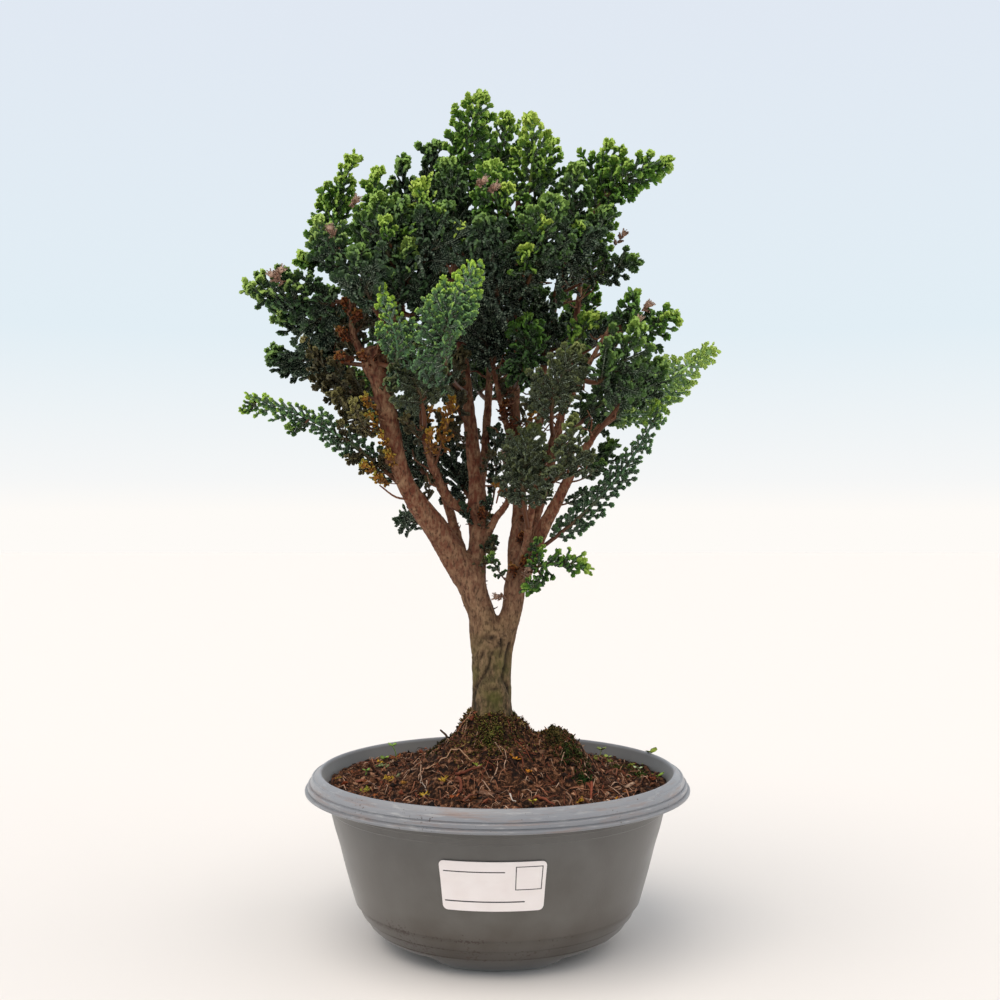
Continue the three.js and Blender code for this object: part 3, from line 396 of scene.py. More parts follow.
# thermal label film: smooth and slightly glossy, with thin black rules and a small empty frame
onSheet = addNode(tree, "Attribute", take="Vector", attribute_name="sheetPlace")
sheetX = addNode(tree, "SeparateXYZ", [onSheet])
sheetZ = sheetX.node.outputs[1]
printed = 0.0
for x, z, halfLength, halfHeight in label["bars"]:
    overX = addNode(tree, "Math", [sheetX, x, halfLength], operation="COMPARE")
    overZ = addNode(tree, "Math", [sheetZ, z, halfHeight], operation="COMPARE")
    bar = addNode(tree, "Math", [overX, overZ], operation="MULTIPLY")
    printed = addNode(tree, "Math", [printed, bar], operation="MAXIMUM")
place = addNode(tree, "TexCoord", take="Object")
stain = addNode(tree, "TexNoise", {"Vector": place, "Scale": 120.0})
paper = addNode(tree, "Mix", {0: stain, 6: toLinear("#f4eeec"), 7: toLinear("#e9dfdc")}, 2, data_type="RGBA")
inked = addNode(tree, "Mix", {0: printed, 6: paper, 7: toLinear("#2b2a2c")}, 2, data_type="RGBA")
linkSurface(tree, surface, {"Base Color": inked})
addPiece("label_sheet", np.concatenate([back, front]) * mm, [sheet[:, ::-1], sheet + count, edge], labelFilm,
         ["label"], {"sheetPlace": np.concatenate([flat, flat])}, smooth=False)
print("label")


# limbs: x, y, z and radius in mm, from root to tip

limbs = {
    "trunk": [[-3, 0, 62, 10], [-3, 0, 98, 12], [-3, 0, 105, 13.2], [-3, 0, 114, 11.6], [-3, 0, 122, 10.6],
              [-3, 0, 134, 10.3], [-3, 0, 146, 10.6], [-3, 0, 155, 9.4], [-3, 0, 161, 5.0]],
    "left_trunk": [[-5, 0, 144, 8.4], [-6.8, 0, 158, 8.1], [-8.4, 0, 169, 7.2], [-11.3, 0, 176, 7.4],
                   [-14.3, 0, 186, 7.9], [-17.4, 0, 195, 7.3]],
    "left_bough": [[-16.4, 0, 187, 7.3], [-23, -2, 199, 7.3], [-31.5, -6, 213, 6.7], [-43, -12, 229, 5.4],
                   [-49, -16, 241, 4.6], [-55, -23, 267, 5.1], [-59, -28, 289, 5.7], [-62, -29, 298, 6.8],
                   [-64, -29, 304, 5.0]],
    "left_leader": [[-12, 0, 184, 6], [-11, 3, 199, 5], [-10.5, 6, 210, 4.8], [-10.5, 9, 225, 5.4],
                    [-11.5, 11, 240, 4.4], [-15.5, 12, 276, 3.6], [-20, 6, 319, 2.7], [-22.5, 2, 345, 2.1],
                    [-24, 0, 372, 1.6]],
    "right_trunk": [[-1, 0, 144, 8], [2, 0, 155, 7.4], [5.5, 0, 164, 5.9], [8, 0, 173, 5.6],
                    [9, 0, 182, 5.8], [11, 0, 192, 5.8]],
    "middle_leader": [[11, 0, 186, 5.3], [10.4, 2, 199, 5.4], [11, 5, 209, 4.9], [12, 8, 223, 4.1],
                      [10.5, 11, 246, 3.4], [9, 12, 285, 3.2], [8, 8, 320, 2.7], [9, 0, 356, 2.1],
                      [11, -5, 388, 1.6]],
    "right_bough": [[12, 0, 187, 5.2], [17, -3, 198, 4.2], [25, -8, 216, 3.6], [33, -12, 232, 2.9],
                    [41, -14, 248, 2.5], [53, -18, 267, 1.9]],
    "left_riser": [[-62, -28, 297, 3], [-69, -31, 304, 2.4], [-73, -31, 313, 1.9], [-72, -28, 337, 1.6],
                   [-73, -26, 352, 1.3]],
    "left_crown": [[-62, -28, 297, 4], [-55, -33, 311, 2.7], [-47, -36, 330, 2.2], [-42, -34, 350, 1.8],
                   [-39, -30, 370, 1.4]],
    "inner_left": [[-11, 8, 223, 3.7], [-18, 4, 224, 3.1], [-25, -2, 228, 2.8], [-31, -9, 239, 2.6],
                   [-37, -18, 259, 2], [-39, -22, 275, 1.6]],
    "centre_slip": [[-10, 6, 202, 3], [-5.5, 4, 210, 2.4], [-1, 0, 219, 2.2], [5, -4, 227, 1.9],
                    [8, -9, 237, 1.5]],
    "inner_right": [[10, 11, 254, 3], [6, 8, 265, 2.2], [3, 4, 275, 1.9], [-3, -4, 302, 1.4]],
    "right_leader": [[10, 12, 262, 3], [16, 14, 266, 2.7], [22, 17, 270, 2.6], [24, 20, 281, 2.5],
                     [25, 20, 301, 2.3], [28, 17, 321, 2.1], [33, 12, 342, 1.8], [46, 0, 379, 1.3]],
    "front_right": [[12, -1, 192, 3.6], [15, -9, 205, 2.4], [17, -18, 221, 2.2], [22, -29, 243, 1.9],
                    [31, -36, 268, 1.7], [45, -37, 295, 1.5], [58, -33, 318, 1.2]],
    "rear_left": [[-15, 2, 187, 4], [-20, 11, 203, 2.9], [-28, 26, 229, 2.8], [-39, 39, 263, 2.5],
                  [-48, 47, 298, 2.2], [-54, 50, 334, 1.9], [-56, 46, 363, 1.4]],
    "rear_right": [[11, 2, 186, 4], [16, 11, 203, 2.9], [24, 26, 229, 2.8], [33, 39, 263, 2.5],
                   [40, 47, 298, 2.2], [45, 50, 334, 1.9], [48, 46, 361, 1.4]],
    "rear_centre": [[-11, 9, 229, 3.2], [-8, 22, 245, 2.6], [-6, 38, 274, 2.4], [-4, 48, 310, 2.2],
                    [-3, 51, 345, 1.9], [-3, 46, 378, 1.6], [-4, 41, 402, 1.2]],
    # stubs of pruned branches
    "stub_a": [[-61, -28, 296, 4.2], [-66, -33, 301, 3.4]],
    "stub_b": [[-51, -18, 248, 2.8], [-57, -20, 249, 2.2]],
    "stub_c": [[11, 9, 232, 2.3], [15, 3, 236, 1.8]],
}


def smoothPath(path, steps):
    # centripetal Catmull-Rom: Hermite pieces whose tangents come from the square roots of the chord lengths
    p = np.array(path, float)
    p = np.concatenate([[2 * p[0] - p[1]], p, [2 * p[-1] - p[-2]]])
    dt = np.sqrt(np.linalg.norm(np.diff(p[:, :3], axis=0), axis=1))[:, None]
    a, b, c, d = p[:-3], p[1:-2], p[2:-1], p[3:]
    t0, t1, t2 = dt[:-2], dt[1:-1], dt[2:]
    m1 = ((b - a) / t0 - (c - a) / (t0 + t1) + (c - b) / t1) * t1
    m2 = ((c - b) / t1 - (d - b) / (t1 + t2) + (d - c) / t2) * t1
    s = (np.arange(steps) / steps)[None, :, None]
    b, c, m1, m2 = b[:, None], c[:, None], m1[:, None], m2[:, None]
    out = (2 * s**3 - 3 * s**2 + 1) * b + (s**3 - 2 * s**2 + s) * m1
    out += (3 * s**2 - 2 * s**3) * c
    out += (s**3 - s**2) * m2
    return np.concatenate([out.reshape(-1, p.shape[1]), p[-2:-1]])


def pathFrames(centres, reference):
    # tangent by differences; the two others square to it, turned so that one looks along the reference
    tangent = unit(np.gradient(centres, axis=0))
    across = unit(np.cross(tangent, reference))
    return tangent, across, np.cross(across, tangent)


def tube(centres, radii, reference, sides):
    # rings of points at centre + r (cos a across + sin a up), with a middle point at each end
    tangent, across, up = pathFrames(centres, reference)
    a = 2 * np.pi * np.arange(sides) / sides
    ring = np.cos(a)[None, :, None] * across[:, None] + np.sin(a)[None, :, None] * up[:, None]
    rows = centres[:, None] + radii[:, None, None] * ring
    ends = np.stack([centres[0] - tangent[0] * radii[0] * 0.5, centres[-1] + tangent[-1] * radii[-1] * 0.7])
    return np.concatenate([rows.reshape(-1, 3), ends]), shellFaces(len(centres), sides, flipped=True)


def frames(heading, lean):
    # two directions square to each heading, the second one near lean
    across = unit(np.cross(lean, heading))
    return across, np.cross(heading, across)


def alongRays(start, size, heading, shares):
    # points at start + size heading share, as (rays, shares, 3)
    rays = np.asarray(size)[..., None, None] * heading[:, None] * np.array(shares)[None, :, None]
    return np.asarray(start)[..., None, :] + rays


def fingers(centres, across, up, halves, flatness, sides=4):
    # many blunt fingers at once. centres: (n, rings, 3); ring points lie at centre + h cos a across
    # + flatness h sin a up, and the last ring closes in a point nearly one half-width further on
    n, rings = centres.shape[:2]
    a = 2 * np.pi * np.arange(sides) / sides
    ring = np.cos(a)[:, None] * across[:, None, None] + flatness * np.sin(a)[:, None] * up[:, None, None]
    ring = centres[:, :, None] + halves[:, :, None, None] * ring
    last = unit(centres[:, -1] - centres[:, -2])
    tip = centres[:, -1] + last * halves[:, -1:] * 0.85
    points = np.concatenate([ring.reshape(n, rings * sides, 3), tip[:, None]], axis=1).reshape(-1, 3)
    count = rings * sides
    foot = [[0, k + 1, k] for k in range(1, sides - 1)]
    ends = np.concatenate([fanFaces(count, (rings - 1) * sides, sides, False), foot])
    start = (np.arange(n) * (count + 1))[:, None, None]
    faces = [(part[None] + start).reshape(-1, part.shape[1]) for part in (gridFaces(rings, sides), ends)]
    return points, faces, np.tile(np.append(np.tile(np.cos(a), rings), 0), n)


def spread(values, sides=4):
    # one value a ring, given to each of its points, and the last once more for the tip
    return np.concatenate([np.repeat(values, sides, axis=1), values[:, -1:]], axis=1).ravel()


def joinParts(parts):
    # puts (points, faces) parts into one, with their corner numbers moved on
    points, faces, start = [], {}, 0
    for partPoints, partFaces in parts:
        points.append(partPoints)
        for face in partFaces:
            faces.setdefault(face.shape[1], []).append(face + start)
        start += len(partPoints)
    return np.concatenate(points), [np.concatenate(group) for group in faces.values()]


wood = {
    "voxel": 1.17, "sides": 20, "stepsAPart": 6, "easeShare": 0.5, "easeRounds": 5,  # mm
    "reference": (0.31, 0.87, 0.38),  # a direction that no limb runs along
    "boleFrom": 5, "boleBlend": 3,  # mm: the radius where the bole's plates start, and over which they grow
    # relief: height in mm, size of a cell, stretch along the limb, seed
    "plates": (0.55, 2.6, 2.2, 1), "ridges": (0.34, 1.5, 2.6, 2), "fine": (0.2, 0.8, 1.4, 3),
    "seams": (0.5, 3.4, 3.2, 4), "soot": (0.28, 1.7, 2.4, 2),
    "crackDepth": 1.3, "crackWidth": 0.75, "crackWander": 0.8, "hollowDepth": 1.6, "hollowReach": 0.28,
    # long cracks on the front of the bole: x and z
    "cracks": [[(5.9, 153.6), (5.0, 148), (4.9, 144), (2.4, 136.5), (5.2, 131.2), (7, 127)],
               [(-3.5, 148.6), (-4.3, 143.3), (-6.9, 137.5), (-10.8, 132.3), (-12.6, 127)],
               [(7.4, 129), (7.6, 122), (7.0, 114)], [(-12.4, 128), (-12.6, 121), (-12, 114)],
               [(1.6, 156), (2.4, 151.5), (1.4, 147)], [(-7.5, 150), (-9.2, 146)]],
    # pruning knots: middle, reach and height
    "knots": [((-1.6, -10, 130.2), (6.2, 4, 3.6), 1.5), ((-63.5, -33, 297), (5, 5, 4), 0.9),
              ((-10.5, 5, 224), (5, 6, 4), 0.8), ((-3, -9, 157), (9, 5, 5), 0.7)],
    # colours by height, from 120 to 360 mm
    "tints": [(0.0, "#373020"), (0.08, "#453d29"), (0.2, "#5d5037"), (0.34, "#74523f"), (0.55, "#6d3e2d"),
              (1.0, "#542d20")],
}
limbPaths = {name: smoothPath(path, wood["stepsAPart"]) for name, path in limbs.items()}
points, faces = joinParts([tube(path[:, :3], path[:, 3], wood["reference"], wood["sides"])
                           for path in limbPaths.values()])
rough = makeObject("rough_wood", points * mm, faces)
weld = rough.modifiers.new("weld", "REMESH")
weld.mode, weld.voxel_size = "VOXEL", wood["voxel"] * mm
ease = rough.modifiers.new("ease", "SMOOTH")
ease.factor, ease.iterations = wood["easeShare"], wood["easeRounds"]
welded = finishedMesh(rough)
bpy.data.objects.remove(rough)


def readVertices(mesh, field):
    # one row of three numbers for each vertex
    values = np.zeros(len(mesh.vertices) * 3, np.float32)
    mesh.vertices.foreach_get(field, values)
    return values.reshape(-1, 3).astype(float)


skin, normals = readVertices(welded, "co") / mm, readVertices(welded, "normal")

# the nearest limb station of each skin point gives its place along and around the limb
stations = np.concatenate(list(limbPaths.values()))
axes, lengths, numbers = [], [], []
for number, path in enumerate(limbPaths.values()):
    axes.append(np.stack(pathFrames(path[:, :3], wood["reference"]), axis=1))
    lengths.append(np.concatenate([[0], np.cumsum(np.linalg.norm(np.diff(path[:, :3], axis=0), axis=1))]))
    numbers.append(np.full(len(path), number))
axes, lengths, numbers = map(np.concatenate, (axes, lengths, numbers))
nearest = []
for block in np.array_split(skin, 40):
    away = np.linalg.norm(block[:, None] - stations[None, :, :3], axis=2) - stations[None, :, 3]
    nearest.append(np.argmin(away, axis=1))
nearest = np.concatenate(nearest)
local = np.einsum("nij,nj->ni", axes[nearest], skin - stations[nearest, :3])
along = lengths[nearest] + local[:, 0]
radius = stations[nearest, 3]
onLimb = np.stack([local[:, 1], local[:, 2], along], axis=-1) + numbers[nearest][:, None] * 53.0  # kept apart
thick = np.clip((radius - wood["boleFrom"]) / wood["boleBlend"], 0, 1)  # 1 on the bole, 0 on the branches


def barkPattern(kind):
    # noise drawn out along the limb, with the height of that kind of relief
    rise, cell, stretch, seed = wood[kind]
    return rise, noise(onLimb / [1, 1, stretch], cell, seed)


rise, plates = barkPattern("plates")
relief = rise * thick * (plates - 0.5)
rise, ridges = barkPattern("ridges")
relief += rise * (1 - thick) * np.minimum(radius / 3, 1) * (ridges - 0.5) * 2
rise, fine = barkPattern("fine")
relief += rise * (fine - 0.5)
seamDepth, seams = barkPattern("seams")
seam = np.clip((1 - np.abs(2 * seams - 1) - 0.9) / 0.1, 0, 1) * thick  # shallow seams between the plates
crack, knot, hollow = np.zeros((3, len(skin)))
frontness = np.clip(-normals[:, 1] * 2, 0, 1)
here = skin[:, [0, 2]] + wood["crackWander"] * (noise(skin, 2.2, 5)[:, None] - 0.5)
for line in wood["cracks"]:
    line = np.array(line, float)
    for a, b in zip(line[:-1], line[1:]):
        t = np.clip(((here - a) @ (b - a)) / ((b - a) @ (b - a)), 0, 1)
        apart = np.linalg.norm(here - a - t[:, None] * (b - a), axis=1)
        crack = np.maximum(crack, np.exp(-(apart / wood["crackWidth"]) ** 2) * frontness * (skin[:, 1] < 0))
for middle, reach, rise in wood["knots"]:
    away = np.linalg.norm((skin - middle) / reach, axis=1)
    knot += rise * np.exp(-away**2) * (1 + 0.35 * np.cos(away * 9))
    hollow = np.maximum(hollow, np.exp(-(away / wood["hollowReach"]) ** 2))
lift = relief - seamDepth * seam - wood["crackDepth"] * crack + knot - wood["hollowDepth"] * hollow
skin = skin + normals * lift[:, None]
dark, soot = barkPattern("soot")
# painted shade: near black in the cracks, the seams between plates and the knot hollows, and random darker
# blotches
creviceShadeAndBlotch = np.clip(0.8 * crack + 0.5 * seam + hollow + dark * (0.5 - soot), 0, 1)

bark, tree, surface = startMaterial("living_cypress_bark", 0.86, 0.2)
# thin stringy bark: reddish-brown where it is young, grey-olive with algae low on the bole; the cracks, seams
# and knot hollows are painted near black as shade, with random darker blotches
place = addNode(tree, "TexCoord", take="Object")
height = addNode(tree, "SeparateXYZ", [place], "Z")
wander = addNode(tree, "TexNoise", {"Vector": place, "Scale": 60.0, "Detail": 3.0})
shifted = addNode(tree, "Math", [wander, 0.05, height], operation="MULTIPLY_ADD")
share = addNode(tree, "MapRange", [shifted, 0.12, 0.36, 0.0, 1.0])
tint = addNode(tree, "ValToRGB", [share], stops=wood["tints"])
drawn = addNode(tree, "Mapping", {0: place, 3: (1.0, 1.0, 0.42)})
strings = addNode(tree, "TexNoise", {"Vector": drawn, "Scale": 520.0, "Detail": 4.0})
blotch = addNode(tree, "TexNoise", {"Vector": place, "Scale": 170.0, "Detail": 5.0, "Roughness": 0.7})
fleck = addNode(tree, "TexNoise", {"Vector": drawn, "Scale": 900.0, "Detail": 4.0})
tint = layOver(tree, tint, strings, 0.42, 0.7, 0.6, "#a08062")
tint = layOver(tree, tint, blotch, 0.5, 0.68, 0.45, "#ad8d6c")
tint = layOver(tree, tint, fleck, 0.51, 0.66, 0.66, "#2a1c15")
# algae: olive patches that end about 170 mm up
lowDown = addNode(tree, "MapRange", [height, 0.175, 0.125, 0.0, 1.0])
patch = addNode(tree, "TexNoise", {"Vector": place, "Scale": 85.0, "Detail": 4.0})
tint = layOver(tree, tint, patch, 0.42, 0.62, 0.75, "#5b5a2c", lowDown)
# painted shade in cracks, seams and hollows, with random blotches, mixed towards near black
deep = addNode(tree, "Attribute", take="Fac", attribute_name="creviceShadeAndBlotch")
tint = addNode(tree, "Mix", {0: deep, 6: tint, 7: toLinear("#17100c")}, 2, data_type="RGBA")
linkSurface(tree, surface, {
    "Base Color": tint,
    "Normal": addNode(tree, "Bump", {"Height": strings, "Strength": 0.9, "Distance": 0.001})})
quads = np.zeros(len(welded.loops), np.int32)
welded.loops.foreach_get("vertex_index", quads)
quads = quads.reshape(-1, 4)
addPiece("bark_and_limbs", skin * mm, [quads], bark, ["trunk_and_branches"], {"creviceShadeAndBlotch": creviceShadeAndBlotch})
print("wood", len(quads), "quads")


# short snags on the limbs and bare twigs inside the crown

twigs = {
    "from": 165, "snags": 480, "snagLength": (0.9, 4.2),  # mm
    "inner": 110, "innerLength": (9, 26), "innerAbove": 236, "thin": 3.2,  # radius of the limbs with them
    # reddish twigs along given paths
    "orange": [[[5.5, -14, 257], [6.8, -15, 250], [5.6, -14, 244], [2.6, -13, 238], [0.4, -12, 231],
                [-0.6, -12, 227]],
               [[5.6, -14, 245], [7.6, -16, 241], [7.8, -16, 236]],
               [[1.8, -13, 236], [4.4, -15, 233], [4.9, -15, 229]],
               [[-52, -22, 262], [-56, -28, 268], [-61, -30, 270]],
               [[-44, -14, 229], [-52, -20, 230], [-60, -24, 236]]],
}


def growTwigs():
    rng = np.random.default_rng(31)
    every = np.concatenate([path for name, path in limbPaths.items() if not name.startswith("stub")])
    every = every[every[:, 2] > twigs["from"]]
    lean = np.array([0.2, 0.9, 0.3])
    # snags: cones a few millimetres long that lean towards the limb's tip
    at = every[rng.integers(len(every), size=twigs["snags"])]
    n = len(at)
    out = unit(rng.normal(size=(n, 3)) * [1, 1, 0.35] + [0, 0, 0.35])
    size = between(twigs["snagLength"], rng.random(n) ** 2)
    start = at[:, :3] + out * at[:, 3:] * 0.8
    centres = start[:, None] + (size[:, None] * np.array([0, 0.6, 1.0]))[:, :, None] * out[:, None]
    centres += np.array([0, 0.05, 0.3])[:, None] * [0, 0, 1]
    halves = (0.3 + 0.3 * rng.random((n, 1))) * [[1.2, 0.8, 0.5]]
    parts = [fingers(centres, *frames(out, lean), halves, 0.9, 3)[:2]]
    # bare twigs: they start on thin limbs and bend upwards
    thin = every[(every[:, 3] < twigs["thin"]) & (every[:, 2] > twigs["innerAbove"])]
    at = thin[rng.integers(len(thin), size=twigs["inner"])]
    n = len(at)
    out = unit(rng.normal(size=(n, 3)) * [1, 1, 0.4])
    size = between(twigs["innerLength"], rng.random(n))[:, None, None]
    w = np.linspace(0, 1, 6)[None, :, None]
    kink = rng.normal(0, 0.12, (n, 6, 3)) * w
    centres = at[:, None, :3] + size * (out[:, None] * w + [0, 0, 0.35] * w**2 + kink)
    halves = (0.45 + 0.4 * rng.random((n, 1))) * np.linspace(1.1, 0.4, 6)
    parts.append(fingers(centres, *frames(unit(centres[:, -1] - centres[:, 0]), lean), halves, 1.0)[:2])
    for path in twigs["orange"]:
        line = smoothPath(path, 4)
        parts.append(tube(line, np.linspace(0.75, 0.4, len(line)), np.array([0.3, 0.9, 0.2]), 6))
    return joinParts(parts)


points, faces = growTwigs()
addPiece("snags_and_twigs", points * mm, faces, bark, fields={"creviceShadeAndBlotch": np.zeros(len(points))})


# soil: damp peat and bark mix, mounded at the trunk

soil = {
    "edge": 81.0, "mound": 33.0, "reach": 33.0, "trunkX": -3, "radius": 88.4,  # mm
    "rings": 80, "columns": 246,
    # heaps: middle x and y, rise, reach in x and y
    "hump": (38.0, 4.0, 12.0, 15.0, 20.0), "clod": (34.0, 2.0, 6.0, 11.0, 13.0),
    "crumb": 1.1, "cushion": (5.6, 20.5, 8.5),  # rise, reach and width of its slope
    "lumps": ((4.0, 9, 11), (3.4, 4, 12), (2.0, 1.6, 13)),  # height, size, seed
    "under": [(88.0, 79), (84.4, 68), (79.4, 50), (72.6, 27), (61, 11)],  # radius and height inside the pot
    # colours along the crumb pattern, which also gives the bump: its near-black low end is painted shade
    # between crumbs
    "tints": [(0.34, "#0c0705"), (0.45, "#26160e"), (0.53, "#553623"), (0.61, "#8f6346"), (0.72, "#c8a284")],
}


def heap(x, y, kind):
    # rise exp(-(dx / reach in x)^2 - (dy / reach in y)^2)
    middleX, middleY, rise, reachX, reachY = soil[kind]
    return rise * np.exp(-((x - middleX) / reachX) ** 2 - ((y - middleY) / reachY) ** 2)


def soilTop(x, y):
    # level near the wall, a mound at the trunk and a hump beside it, low waves, a steep-sided cushion of moss
    # round the trunk, and lumps of three sizes that fade at the wall
    mound = soil["mound"] * np.exp(-((x - soil["trunkX"]) / soil["reach"]) ** 2 - (y / soil["reach"]) ** 2)
    wave = np.sin(x * 0.31 + 1.3 * np.sin(y * 0.23)) * np.cos(y * 0.37 - 0.8 * np.sin(x * 0.19))
    low = soil["edge"] + mound + heap(x, y, "hump") + soil["crumb"] * wave
    flat = np.stack([x, y, 0 * x], axis=-1).reshape(-1, 3)
    rise, reach, slope = soil["cushion"]
    edge = reach + 6 * (noise(flat, 13, 14).reshape(x.shape) - 0.5)
    cushion = rise * np.clip((edge - np.hypot(x - soil["trunkX"], y)) / slope, 0, 1) + heap(x, y, "clod")
    lumps = sum(high * (noise(flat, size, seed) - 0.5) for high, size, seed in soil["lumps"])
    fade = np.clip((soil["radius"] - np.hypot(x, y)) / 6, 0.25, 1)
    return low + cushion + lumps.reshape(x.shape) * fade


def ground(x, y):
    # height of the soil under one point
    return soilTop(np.array([x]), np.array([y]))[0]


share = np.linspace(0, 1, soil["rings"] + 1)[1:, None]
turn = 2 * np.pi * np.arange(soil["columns"])[None, :] / soil["columns"]
x, y = soil["radius"] * share * np.cos(turn), soil["radius"] * share * np.sin(turn)
top = np.stack([x, y, soilTop(x, y)], axis=-1)
under, _ = latheRows(soil["under"], soil["columns"])
points = np.concatenate([top.reshape(-1, 3), under.reshape(-1, 3),
                         [[0, 0, ground(0.0, 0.0)], [0, 0, soil["under"][-1][1]]]])
faces = shellFaces(len(top) + len(under), soil["columns"], flipped=True)

peat, tree, surface = startMaterial("damp_peat_and_bark", 0.8, 0.15)
# peat: darker in damp patches, red-brown fibre on top, and painted near black in the crumb pattern's hollows
# as shade between crumbs; crumbs about 1.5 mm
place = addNode(tree, "TexCoord", take="Object")
crumbs = addNode(tree, "TexNoise", {"Vector": place, "Scale": 420.0, "Detail": 5.0, "Roughness": 0.65})
tint = addNode(tree, "ValToRGB", [crumbs], stops=soil["tints"])
damp = addNode(tree, "TexNoise", {"Vector": place, "Scale": 45.0, "Detail": 2.0})
linkSurface(tree, surface, {
    "Base Color": layOver(tree, tint, damp, 0.42, 0.65, 0.6, "#1b120d"),
    "Normal": addNode(tree, "Bump", {"Height": crumbs, "Strength": 1.0, "Distance": 0.0018})})
addPiece("soil_surface", points * mm, faces, peat, ["soil"])
print("soil")


# on the soil: peat fibres, bark crumbs, moss, roots, fallen sprigs and seedlings

